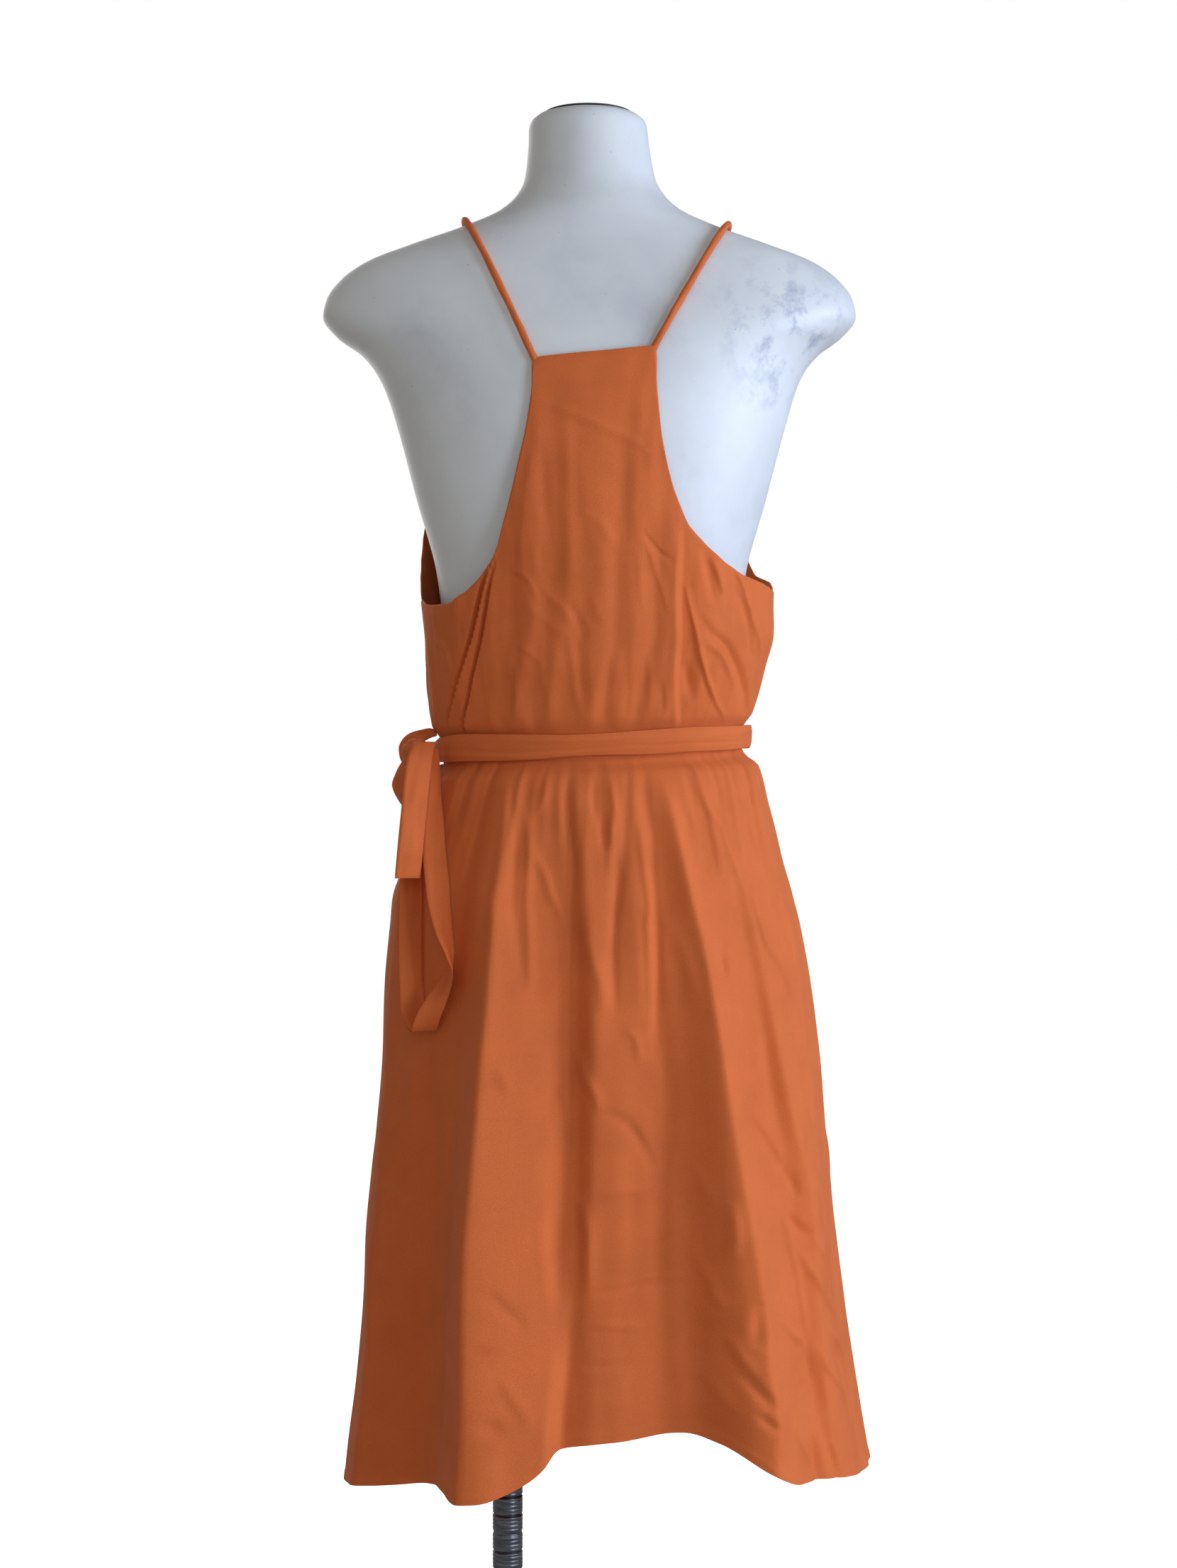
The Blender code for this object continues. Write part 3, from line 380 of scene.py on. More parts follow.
def crease_rise(rows, angle, z, reach=REACH):
    """How far all the creases together lift the cloth."""
    total = np.zeros_like(angle)
    for row in rows:
        way = crease_path(row, reach)
        x, y = np.radians(angle_from(angle, row.path[0][0])) * reach, z
        margin = FLANK * row.width
        near = ((x > way[:, 0].min() - margin) & (x < way[:, 0].max() + margin)
                & (y > way[:, 1].min() - margin) & (y < way[:, 1].max() + margin))
        if not near.any():
            continue
        x, y = x[near], y[near]
        best, share, side = np.full(x.shape, FAR), np.zeros_like(x), np.ones_like(x)
        lengths = np.hypot(*np.diff(way, axis=0).T)
        gone, whole = 0.0, lengths.sum()
        for (ax, ay), (bx, by), length in zip(way, way[1:], lengths):
            t = np.clip(((x - ax) * (bx - ax) + (y - ay) * (by - ay)) / length ** 2, 0, 1)
            dx, dy = x - ax - (bx - ax) * t, y - ay - (by - ay) * t
            distance = np.hypot(dx, dy)
            closer = distance < best
            best = np.where(closer, distance, best)
            share = np.where(closer, (gone + t * length) / whole, share)
            side = np.where(closer, np.sign(dx * (by - ay) - dy * (bx - ax)), side)
            gone += length
        width = row.width * (1 + row.lean * side)
        fade = np.maximum(np.sin(np.pi * share), 0.0) ** END_FADE
        total[near] += row.rise * fade * np.exp(-(best / width) ** 2)
    return total


def wrinkles(kinds, angle, z):
    """Soft uneven wrinkles of one or more kinds, in metres."""
    total = np.zeros_like(angle)
    for kind in kinds:
        flat = [noise.noise(Vector((a / kind.across, h / kind.along, kind.seed)))
                for a, h in zip(angle.ravel(), z.ravel())]
        total = total + kind.rise * np.array(flat).reshape(angle.shape)
    return total


print("creases reach", FLANK, "widths to each side")

# %% [markdown]
# ## Cloth sheets
# Every cloth piece starts as a flat grid, as it would lie on the cutting table, and its points are
# then moved to where the cloth hangs. The grid's own UV map is rewritten in metres along and across
# the grain, so that the weave runs down each panel and is the same size everywhere. A cloth
# simulation would drape the sheets in its own way. Here each fold has to lie where the photo shows
# it, so the points are placed by the tables, and the wall is added last, with a Solidify modifier.

# %% A grid that becomes cloth
CLOTH = 0.0008              # the wall of one layer
MERGE = 0.00002             # points nearer than this are one
SMOOTH_ANGLE = math.radians(50)


def only(thing):
    bpy.ops.object.select_all(action="DESELECT")
    thing.select_set(True)
    bpy.context.view_layer.objects.active = thing


def grid_piece(name, columns, rows, place):
    """A grid whose points go where place(u, v) says; it returns points and grain in metres."""
    bpy.ops.object.select_all(action="DESELECT")
    bpy.ops.mesh.primitive_grid_add(x_subdivisions=columns, y_subdivisions=rows, size=1,
                                    calc_uvs=True, location=(0, 0, 0))
    piece = bpy.context.object
    piece.name = piece.data.name = name
    mesh = piece.data
    count = len(mesh.vertices)
    flat = np.empty(count * 3, np.float32)
    mesh.vertices.foreach_get("co", flat)
    flat = flat.reshape(count, 3)
    u = (flat[:, 0] + 0.5).reshape(rows + 1, columns + 1)
    v = (flat[:, 1] + 0.5).reshape(rows + 1, columns + 1)
    points, grain = place(u, v)
    mesh.vertices.foreach_set("co", points.reshape(-1, 3).astype(np.float32).ravel())
    corner = np.empty(len(mesh.loops), np.int32)
    mesh.loops.foreach_get("vertex_index", corner)
    mesh.uv_layers[0].name = "grain"
    mesh.uv_layers[0].data.foreach_set("uv", grain.reshape(-1, 2)[corner].astype(np.float32).ravel())
    mesh.update()
    return piece


def finish_cloth(piece, material, thickness=0.0, close=False):
    """Gives the sheet its wall, smooth shading and its material, and closes a tube's seam."""
    only(piece)
    if close:
        bpy.ops.object.mode_set(mode="EDIT")
        bpy.ops.mesh.select_all(action="SELECT")
        bpy.ops.mesh.remove_doubles(threshold=MERGE)
        bpy.ops.object.mode_set(mode="OBJECT")
    if thickness:
        wall = piece.modifiers.new("wall", "SOLIDIFY")
        wall.thickness = thickness
        wall.offset = -1.0      # inwards, so that the outside stays where it was put
        bpy.ops.object.modifier_apply(modifier=wall.name)
    bpy.ops.object.shade_smooth_by_angle(angle=SMOOTH_ANGLE)
    piece.data.materials.clear()
    piece.data.materials.append(material)
    return piece


def put_on(piece, node):
    """The piece rides with the one body, and stands for its solid."""
    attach(piece, "root")
    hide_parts(node)
    print(piece.name, "has", len(piece.data.polygons), "faces")


print("one layer of cloth is", CLOTH * MM, "mm thick")

# %% [markdown]
# ## Materials
# The crepe is a fine twill: diagonal ribs about half a millimetre apart, crossed by uneven threads.
# Ribs and threads are bump, read from the grain, and the dye is a little uneven. A weak sheen lights
# the cloth's edges the way short fibres do.
#
# A material is a small net of nodes. The helpers below make one node at a time, set its inputs, and
# join an input to another node where the value given for it is that node's output.

# %% Node helpers
def set_node(node, **settings):
    """Sets inputs and options by name; an underscore stands for a space in an input's name."""
    for name, value in settings.items():
        socket = node.inputs.get(name.replace("_", " "))
        if socket is None:
            setattr(node, name, value)
        elif isinstance(value, bpy.types.NodeSocket):
            node.id_data.links.new(value, socket)
        else:
            socket.default_value = value


def add_node(nodes, kind, **settings):
    node = nodes.new(kind)
    set_node(node, **settings)
    return node


def new_material(name, colour, roughness, metallic=0.0):
    made = bpy.data.materials.new(name)
    made.use_nodes = True
    shader = made.node_tree.nodes["Principled BSDF"]
    set_node(shader, Base_Color=(*colour, 1.0), Roughness=roughness, Metallic=metallic)
    return made, made.node_tree.nodes, shader


def colour_ramp(nodes, value, *stops):
    """The colour that a value stands for, between stops of place and colour."""
    node = add_node(nodes, "ShaderNodeValToRGB", Fac=value)
    elements = node.color_ramp.elements
    for element, (position, colour) in ((elements[0], stops[0]), (elements[1], stops[-1])):
        element.position = position
        element.color = (*colour, 1)
    for position, colour in stops[1:-1]:
        elements.new(position).color = (*colour, 1)
    return node.outputs["Color"]


def tinted(colour, factor):
    return tuple(min(1.0, part * factor) for part in colour)


print("node helpers are ready")

# %% Orange crepe
CREPE = (0.77, 0.160, 0.034)    # red, green and blue in linear light
RIB = 0.0006                # from one twill rib to the next
TWILL_ANGLE = math.radians(28)
WHOLE_TURN = 6.2832         # in radians


def make_crepe(name):
    made, nodes, shader = new_material(name, CREPE, 0.78)
    set_node(shader, Specular_IOR_Level=0.3, Sheen_Weight=0.06, Sheen_Roughness=0.40,
             Sheen_Tint=(1.0, 0.80, 0.70, 1.0))
    grain = add_node(nodes, "ShaderNodeUVMap", uv_map="grain").outputs["UV"]
    turned = add_node(nodes, "ShaderNodeMapping", Vector=grain, Rotation=(0, 0, TWILL_ANGLE))
    ribs = add_node(nodes, "ShaderNodeTexWave", Vector=turned.outputs["Vector"],
                    Scale=1 / RIB / WHOLE_TURN * 2, Distortion=1.2)
    threads = add_node(nodes, "ShaderNodeTexNoise", Vector=grain, Scale=900.0, Detail=2.0)
    cloudy = add_node(nodes, "ShaderNodeTexNoise", Vector=grain, Scale=22.0, Detail=4.0, Roughness=0.6)
    dye = colour_ramp(nodes, cloudy.outputs["Fac"], (0.30, tinted(CREPE, 0.93)), (0.5, CREPE),
                      (0.72, tinted(CREPE, 1.06)))
    flecks = add_node(nodes, "ShaderNodeMix", data_type="RGBA", blend_type="MULTIPLY", Factor=0.22,
                      A=dye, B=threads.outputs["Fac"])
    fine = add_node(nodes, "ShaderNodeBump", Strength=0.35, Distance=0.00025, Height=ribs.outputs["Fac"])
    rough = add_node(nodes, "ShaderNodeBump", Strength=0.30, Distance=0.0003,
                     Height=threads.outputs["Fac"], Normal=fine.outputs["Normal"])
    set_node(shader, Base_Color=flecks.outputs["Result"], Normal=rough.outputs["Normal"])
    return made


crepe = make_crepe("orange_crepe")
print("crepe ribs:", RIB * MM, "mm apart")

# %% [markdown]
# The form is a moulded shell with old off-white paint. Its paint is a little cloudy and bluish at
# the right shoulder, where hands have held it, and it has a few scuffs and pinholes.

# %% Painted form
PAINT = (0.71, 0.705, 0.70)
SMUDGE_PLACE = (-0.155, 0.060, 1.345)
SMUDGE_CORE, SMUDGE_EDGE = 0.015, 0.075   # how far from its place it is whole, and where it ends
SMUDGE_TONE = (0.36, 0.38, 0.47, 1)
PIT_TONE = (0.30, 0.29, 0.28, 1)


def make_paint(name):
    made, nodes, shader = new_material(name, PAINT, 0.46)
    place = add_node(nodes, "ShaderNodeTexCoord").outputs["Object"]
    cloudy = add_node(nodes, "ShaderNodeTexNoise", Vector=place, Scale=9.0, Detail=6.0, Roughness=0.62)
    specks = add_node(nodes, "ShaderNodeTexNoise", Vector=place, Scale=260.0, Detail=2.0)
    smudge = add_node(nodes, "ShaderNodeTexNoise", Vector=place, Scale=34.0, Detail=5.0, Roughness=0.7)
    tone = colour_ramp(nodes, cloudy.outputs["Fac"], (0.30, (0.60, 0.60, 0.61)), (0.5, PAINT),
                       (0.70, (0.77, 0.765, 0.755)))

    shoulder = add_node(nodes, "ShaderNodeVectorMath", operation="DISTANCE", Vector=place)
    shoulder.inputs[1].default_value = SMUDGE_PLACE
    near = add_node(nodes, "ShaderNodeMapRange", Value=shoulder.outputs["Value"],
                    From_Min=SMUDGE_CORE, From_Max=SMUDGE_EDGE, To_Min=1.0, To_Max=0.0)
    patchy = add_node(nodes, "ShaderNodeMapRange", Value=smudge.outputs["Fac"], From_Min=0.50,
                      From_Max=0.66)
    worn = add_node(nodes, "ShaderNodeMath", operation="MULTIPLY", Value=near.outputs["Result"])
    made.node_tree.links.new(patchy.outputs["Result"], worn.inputs[1])
    blue = add_node(nodes, "ShaderNodeMix", data_type="RGBA", Factor=worn.outputs["Value"], A=tone,
                    B=SMUDGE_TONE)

    pits = add_node(nodes, "ShaderNodeMapRange", Value=specks.outputs["Fac"], From_Min=0.755,
                    From_Max=0.80)
    dirty = add_node(nodes, "ShaderNodeMix", data_type="RGBA", Factor=pits.outputs["Result"],
                     A=blue.outputs["Result"], B=PIT_TONE)
    bump = add_node(nodes, "ShaderNodeBump", Strength=0.12, Distance=0.0006, Height=smudge.outputs["Fac"])
    set_node(shader, Base_Color=dirty.outputs["Result"], Normal=bump.outputs["Normal"])
    return made


paint = make_paint("worn_paint")
print("the smudge ends", SMUDGE_EDGE, "m from the middle of the shoulder")

# %% [markdown]
# The post is a steel tube with turned rings, and its steel has darker and brighter marks that run round it.
# The collar, the socket and the base are steel with a satin black coat.

# %% Steel
MARKS_LONG = (1.0, 1.0, 12.0)   # squeezed along Z, so that the marks run round, as turning leaves them


def make_steel(name, colour, roughness, scale, metallic=1.0):
    made, nodes, shader = new_material(name, colour, roughness, metallic)
    place = add_node(nodes, "ShaderNodeTexCoord").outputs["Object"]
    along = add_node(nodes, "ShaderNodeMapping", Vector=place, Scale=MARKS_LONG)
    marks = add_node(nodes, "ShaderNodeTexNoise", Vector=along.outputs["Vector"], Scale=scale, Detail=5.0,
                     Roughness=0.6).outputs["Fac"]
    tone = colour_ramp(nodes, marks, (0.3, tinted(colour, 0.6)), (0.5, colour), (0.75, tinted(colour, 1.7)))
    gloss = add_node(nodes, "ShaderNodeMapRange", Value=marks, To_Min=roughness - 0.12,
                     To_Max=roughness + 0.15)
    bump = add_node(nodes, "ShaderNodeBump", Strength=0.15, Distance=0.0002, Height=marks)
    set_node(shader, Base_Color=tone, Roughness=gloss.outputs["Result"], Normal=bump.outputs["Normal"])
    return made


ringed_steel = make_steel("ringed_steel", (0.17, 0.175, 0.19), 0.34, 60.0)
black_steel = make_steel("black_steel", (0.045, 0.045, 0.050), 0.42, 30.0, metallic=0.6)
print("materials:", [material.name for material in (crepe, paint, ringed_steel, black_steel)])

# %% [markdown]
# ## The skirt
# The skirt hangs in flutes. At the back one large flute stands out left of the middle. Its left side
# turns away from the light, its face looks at us, and its right edge drops into a valley. Next to it
# lies a flat stretch, then a deep valley and a sharp ridge that runs from the waist to the hem. The
# front is not in the photo, so it has flutes of the same kind.

# %% The skirt's fold lines
SKIRT_LINES = tuple(fold_line(*row) for row in (
    (3, (470, 5, 1), (800, 5, 0), (1015, 5, 0)),
    (2, (470, 25, 11), (570, 25.5, 10.5), (660, 26, 9), (720, 22, 6), (800, 17, 2), (1015, 16, 0)),
    (3, (470, 42, -19), (620, 41, -16), (770, 41, -9), (870, 43, -3), (1015, 45, 0)),
    (2.5, (470, 49, -12), (620, 50, -10), (770, 51, -5), (870, 53, -2), (1015, 52, 0)),
    (0.8, (479, 63.6, 36, -1.6), (541, 63.6, 35, -1.6), (616, 62.8, 33, -1.4), (692, 63, 30, -1.2),
     (769, 63.4, 26, -1), (846, 65.1, 19, -0.8), (888, 65.4, 15.5, -0.6), (924, 65.2, 12, -0.4),
     (977, 62.5, 6), (1015, 60, 0)),
    (2.2, (479, 67.5, 29), (541, 67, 26), (615, 66.6, 22.5), (691, 66.8, 18.5), (768, 67, 15),
     (846, 68.4, 9.5), (924, 68.6, 5), (977, 66.5, 2), (1015, 63, 0)),
    (2.2, (486, 71.6, 18), (540, 71.6, 14), (615, 72.4, 8.5), (691, 72.8, 6), (768, 73.2, 3),
     (846, 74.4, 1), (924, 74, -1), (977, 72, 0), (1015, 70, 0)),
    (0.5, (498, 77.2, 9, 0.5), (538, 77.6, 4, 0.4), (615, 79.6, -8), (691, 81.2, -12), (769, 81.8, -12),
     (846, 82.8, -9), (924, 83.8, -6), (966, 81, -2), (1015, 79, 0)),
    (0.8, (504, 79.8, -10), (535, 80.4, -12), (612, 83.6, -12), (689, 84.8, -11), (767, 84.8, -9),
     (845, 85.6, -6), (924, 86.2, -4), (966, 83.5, -2), (1015, 81.5, 0)),
    (1.6, (515, 86.2, -10), (612, 87, -9), (690, 87.4, -6), (768, 87.4, -2), (846, 88.9, 3),
     (890, 88.5, 2.5), (924, 87.7, 1), (966, 85.7, 1), (1015, 84, 0)),
    (1.8, (515, 91, -10), (613, 91.6, -9), (690, 92, -7), (768, 92.6, -5), (846, 93.4, -2),
     (890, 95.5, -3), (924, 96.5, -3), (977, 94.8, -1), (1015, 94, 0)),
    (2, (519, 97, -13), (612, 97.6, -12), (689, 98.8, -11), (767, 101, -9), (846, 101, -1),
     (890, 101.5, 1), (924, 101.4, 1), (977, 101.8, 1), (1015, 100, 0)),
    (1.6, (524, 102.6, -15), (611, 103, -14), (688, 103.8, -13), (766, 105.5, -11), (845, 104.7, -6),
     (890, 106, -4), (924, 106.6, -3), (977, 106, -2), (1015, 104, 0)),
    (2, (519, 109, -8), (612, 110.2, -6), (689, 111.4, -3), (767, 112, -1), (845, 111.5, 0),
     (924, 111, 0.5), (977, 109, 0), (1015, 107, 0)),
    (1.6, (511, 117.6, 21), (614, 119.2, 21), (691, 118, 16.5), (768, 116.2, 12), (845, 115.4, 8),
     (924, 113.6, 5), (977, 111.8, 3), (1015, 109, 0)),
    (1, (499, 122.4, 31), (539, 123, 30), (614, 123.6, 28), (691, 121.8, 23), (768, 119.2, 18.5),
     (846, 117.8, 14), (890, 116.8, 12), (924, 115.7, 10), (960, 114.6, 7), (985, 113.4, 4),
     (1015, 111, 0)),
    (1.6, (494, 128, 19), (611, 128.6, 15.5), (688, 126.8, 11), (766, 124, 7), (845, 122.4, 3.5),
     (924, 119.8, 1.5), (976, 117.6, 0), (1015, 115, 0)),
    (2, (494, 133, 9), (611, 134, 5), (688, 132.8, 2), (766, 129.4, -0.5), (845, 128, -2),
     (924, 126, -1), (976, 124, 0), (1015, 121, 0)),
    (1.5, (480, 138.5, 2), (550, 140.5, 1), (603, 142, 1), (682, 142, -1), (762, 137.8, -3),
     (843, 135.4, -3), (923, 133, -1), (1015, 130, 0)),
    (1.2, (484, 141.5, 6), (550, 146, 6), (601, 147.5, 6), (680, 148, 6), (763, 141.2, 5),
     (843, 138.2, 2), (923, 136, 1), (1015, 133, 0)),
    (2.5, (484, 158, -2), (601, 160, -2), (680, 159, -1), (763, 155, 0), (1015, 150, 0)),
    (4, (470, 170, -6), (700, 170, -4), (880, 170, 0), (1015, 170, 0)),
    (4, (470, 184, 2), (750, 184, 1), (1015, 184, 0)),
    (2.5, (455, 199, 13), (620, 197, 10), (780, 196, 4), (920, 195, 1), (1015, 194, 0)),
    (2.5, (455, 216, -16), (620, 217, -13), (780, 218, -6), (920, 219, -2), (1015, 219, 0)),
    (1.5, (455, 233, 18), (620, 234, 15), (780, 235, 8), (920, 236, 3), (1015, 237, 0)),
    (2.5, (455, 244, 19), (620, 242, 14), (780, 241, 6), (1015, 240, 0)),
    (2, (455, 260, -15), (620, 259, -12), (780, 258, -7), (920, 257, -2), (1015, 256, 0)),
    (1.6, (455, 281, 16), (620, 281, 13), (780, 280, 7), (920, 279, 3), (1015, 277, 0)),
    (2.2, (455, 301, -16), (620, 301, -13), (780, 302, -6), (920, 303, -2), (1015, 303, 0)),
    (1.5, (455, 318, 18), (620, 319, 15), (780, 320, 8), (920, 322, 3), (1015, 323, 0)),
    (2.5, (455, 328, 10), (620, 329, 7), (780, 331, 3), (1015, 333, 0)),
    (3, (455, 344, -11), (620, 343, -8), (780, 343, -4), (1015, 343, 0)),
))
print("skirt fold lines:", len(SKIRT_LINES))

# %% [markdown]
# The small creases of the back are placed one by one, where the photo shows them. Most of them slant
# across a flute where it buckles, and the right side is the most crumpled. The front isn't in the
# photo, so it has a few plain ones.

# %% The skirt's small creases
SKIRT_CREASES = creases((
    (1.8, 3, -0.3, 67.9, 982, 71.7, 950, 73.2, 897, 73.9, 846),
    (-1.5, 3, 0.2, 63.7, 995, 67.9, 950, 70, 898, 72.2, 851),
    (1.4, 2.6, -0.3, 74.6, 1011, 74.3, 993, 72.6, 977),
    (-1.5, 2.6, 0.2, 80.7, 1011, 82.2, 977, 83.5, 950),
    (1.8, 2.6, 0.3, 72.9, 951, 77.9, 930, 79.5, 918, 83.5, 896),
    (-1.8, 2.4, 0.2, 90.1, 1011, 89.9, 987, 91.1, 971),
    (1.8, 2.4, -0.3, 94.9, 1003, 95.4, 987, 95.9, 969),
    (-1.5, 2.2, 0, 92.5, 979, 92.9, 950),
    (1.5, 2.2, -0.3, 94.9, 977, 94.4, 955, 94.2, 932),
    (1.9, 3.4, -0.3, 87.6, 898, 88.8, 872, 90.8, 848, 90.9, 829),
    (-2.1, 3, 0.3, 96.8, 955, 96.5, 924, 95.1, 898, 94.1, 872, 93.8, 830),
    (2.1, 3, -0.3, 103.5, 971, 103.8, 935, 104.6, 911, 103.3, 893, 103, 846, 102.1, 816),
    (-1.5, 3, 0.3, 107.4, 966, 106.5, 924, 106.3, 897, 104.7, 845, 103, 793),
    (1.2, 5, 0, 108.6, 903, 111.3, 882, 113.4, 856, 115.3, 830),
    (1.6, 3, 0, 123.4, 1011, 125, 998, 127.4, 982, 132, 966, 133.3, 949, 135.1, 933, 136.4, 919),
    (2.4, 2.8, -0.3, 138.8, 919, 139.7, 897, 141.1, 879, 144.4, 868, 148.5, 854, 153.6, 823),
    (-2, 2.8, 0, 145.6, 974, 146.3, 958, 149.1, 947),
    (-2, 2.8, 0, 152.1, 885, 153.9, 875, 155.2, 864),
    (1.8, 3, -0.2, 126.8, 977, 128.5, 950, 128.8, 929),
    (1.6, 3, -0.2, 140.3, 1000, 147.6, 982, 154.1, 971),
    (-2.4, 3, 0, 124.2, 873, 123.9, 855),
    (1.5, 2.8, -0.2, 66.2, 795, 67.5, 783, 69.1, 770),
    (2.1, 2.6, -0.3, 84.6, 804, 85.4, 788, 87.6, 773, 89.3, 757),
    (1.5, 2.4, -0.2, 95.5, 818, 98.3, 811, 98.6, 794),
    (-1.8, 3.2, 0.3, 89.9, 760, 94.6, 752, 97.7, 741, 100.1, 728, 101.8, 716),
    (1.4, 2.6, 0, 89.6, 698, 94.6, 699, 98.9, 700, 103.4, 705),
    (2.4, 2.8, -0.3, 83.2, 696, 86, 684, 86.9, 659, 86.5, 623),
    (-1.4, 2.4, 0, 86.4, 626, 91.3, 626, 98.4, 630, 108.5, 632),
    (1.2, 2.4, 0, 87.5, 602, 94, 601, 98.5, 600),
    (-1, 2.8, 0, 85.2, 571, 91, 572, 94.3, 577),
    (-2.1, 2.6, 0.3, 66.5, 630, 68.8, 620, 70.7, 612, 73.6, 603),
    (-1.5, 3, 0, 63.9, 589, 67.2, 586),
    (2.1, 2.6, -0.3, 69.4, 569, 70.8, 555, 72.8, 544, 74.4, 530),
    (-2.7, 3.4, 0, 66.8, 539, 67.9, 533, 68.8, 525),
    (1.5, 3.6, -0.2, 76.8, 695, 76.7, 664, 77.7, 638, 78, 607),
    (1.8, 2.4, -0.2, 61.4, 612, 60.4, 585, 59.3, 559, 58.3, 517),
    (-2.7, 3, -0.4, 124.3, 757, 131, 737, 137.3, 715, 142.5, 695),
    (-2.5, 2.8, 0, 142.6, 704, 143.7, 687),
    (-2.9, 3.2, 0, 139.5, 677, 143.9, 663, 148, 656),
    (2.8, 3.4, -0.2, 118.2, 693, 118.4, 670, 117.2, 651),
    (2.5, 2.8, -0.3, 137, 679, 139, 652, 140.5, 631, 141.2, 604, 142.7, 576, 143.3, 558),
    (2.5, 2.8, -0.3, 129.7, 606, 134.4, 592, 140.4, 579, 142.1, 564),
    (2.5, 2.8, -0.3, 139.5, 661, 144.9, 634, 151.3, 610, 164.6, 589),
    (2.4, 2.8, -0.3, 146.6, 656, 158, 628, 160.3, 604),
    (2.5, 2.8, -0.3, 144, 578, 147.2, 559, 156.4, 537, 163.6, 514),
    (2.4, 2.8, -0.3, 151.2, 585, 164.6, 564, 164.8, 544),
    (-2.9, 3.2, 0.2, 117.7, 578, 119.5, 563, 121.8, 552, 124.2, 539),
    (2.5, 2.8, -0.3, 116.2, 596, 117.8, 580, 119.2, 566),
    (-3.6, 4, 0, 123.5, 621, 122.4, 606, 121.3, 587),
    (-2.5, 2.8, 0, 120.1, 541, 122, 533, 124, 526),
    (2.8, 3.4, -0.2, 124.3, 563, 124.1, 534, 124.5, 507),
    (2.5, 2.8, -0.3, 129.8, 529, 132.9, 511, 136.1, 493),
    (-2.7, 3, 0, 138.5, 515, 138.5, 495, 137.8, 479),
    (2.5, 2.8, -0.3, 144.7, 507, 146.3, 495, 147.4, 480),
    (1.4, 2.2, -0.2, 113.3, 630, 115.1, 614),
    (1.2, 3, -0.2, 110, 663, 112.8, 638, 116.2, 615),
    (1.2, 3.4, -0.2, 110.9, 568, 114.1, 551, 117, 538),
    (1, 3, -0.2, 111.6, 720, 114.4, 690),
    (-2, 2.6, 0, 143.8, 560, 144.2, 539, 144.7, 518),
    (1.5, 3, 0, 35.1, 526, 37.5, 543, 41, 554),
    (1.5, 3, 0, 38.2, 487, 41.7, 493, 46.8, 504),
    (-3.1, 3.4, 0.3, 33, 1019, 25, 1010, 15, 1001),
    (1.8, 4, 0, 29, 1004, 21, 996, 14, 990),
    (-3.8, 4.2, 0, 141.5, 600, 142.5, 535, 146, 470),
    (1.8, 8, 0, 150, 660, 166, 640),
    (-3, 8, 0, 150, 575, 162.5, 557, 176, 545),
    (1, 8, 0, 30, 800, 38, 700),
    (1.5, 8, 0, 20, 660, 27, 570),
    (0.8, 6, 0, 44, 760, 50, 700),
    (1.5, 6, 0, 205, 620, 212.9, 599, 222, 580),
    (1.8, 6, 0, 226, 800, 234.3, 766, 244, 735),
    (1.6, 5, 0, 250, 930, 255.2, 894, 262, 860),
    (-1.2, 5, 0, 268, 700, 278.5, 678, 290, 660),
    (1.2, 5, 0, 275, 600, 287.2, 614, 300, 625),
    (1.8, 6, 0, 296, 880, 306, 838, 318, 800),
    (1.6, 7, 0, 305, 560, 326, 530),
    (1.4, 7, 0, 330, 740, 350, 690),
    (1.6, 6, 0, 185, 900, 191.8, 869, 200, 840),
    (1.8, 7, 0, 188, 720, 196.3, 689, 206, 660),
    (1.2, 6, 0, 238, 580, 256, 550),
    (1.8, 5, 0, 312, 990, 316.6, 955, 322, 920),
    (1.6, 5, 0, 215, 990, 218.1, 950, 222, 910),
    (1.2, 6, 0, 345, 920, 358, 860),
))
print("skirt creases:", len(SKIRT_CREASES))

# %% [markdown]
# Small gathers are let into the waist seam. They are uneven: each has its own place, height and
# length, and they fade out a hand's width below the sash. Those in the middle of the back are listed
# one by one, and the others are placed by a seeded chance, so that every run makes the same skirt.

# %% Gathers below the waist seam
GATHER_COUNT = 58
GATHERED_BY_HAND = (57, 132)
GATHER_LENGTH, GATHER_WIDTH, GATHER_RISE = (0.030, 0.105), (0.0026, 0.0052), (0.0008, 0.0024)
GATHER_PLACE, GATHER_LEAN = (0.15, 0.85), (-0.35, 0.35)
GATHER_TOP = 0.020          # it starts this far above the seam, under the sash
GATHER_BEND, GATHER_DRIFT = (-1.2, 1.2), (-3, 3)    # degrees sideways, at its turn and at its end
gather_rows = creases((
    (7.2, 8.5, 0, 0, 1031, 2, 1012, 4, 985),
    (2, 3.6, -0.3, 65.5, 1016, 65.5, 985, 66, 945),
    (0.7, 4, -0.3, 71.5, 1016, 71, 985, 73, 930),
    (0.6, 3.4, 0, 75.5, 1016, 75, 975, 75.5, 950),
    (0.8, 3.6, -0.2, 79, 1018, 79.5, 985, 82, 930),
    (-1.4, 2.6, -0.2, 82, 1018, 82.6, 985, 84.6, 930, 83.4, 860),
    (0.9, 4.4, -0.3, 88, 1019, 88.6, 985, 88, 935),
    (-1, 2.6, 0, 91.5, 1019, 91.6, 990, 93, 950),
    (1, 3.4, -0.3, 94.5, 1020, 94.5, 985, 97, 930),
    (-0.9, 2.6, 0, 100.5, 1020, 99.5, 990, 98, 940, 96, 900),
    (0.8, 3.6, -0.3, 103, 1020, 102, 985, 103, 940),
    (-1, 4, 0, 106.5, 1021, 106, 990, 108, 950),
    (0.8, 4, 0, 119, 1022, 120, 990, 123, 955),
    (1.8, 4, -0.3, 124.5, 1022, 127.5, 985, 131.5, 935),
))
chance = np.random.default_rng(7)
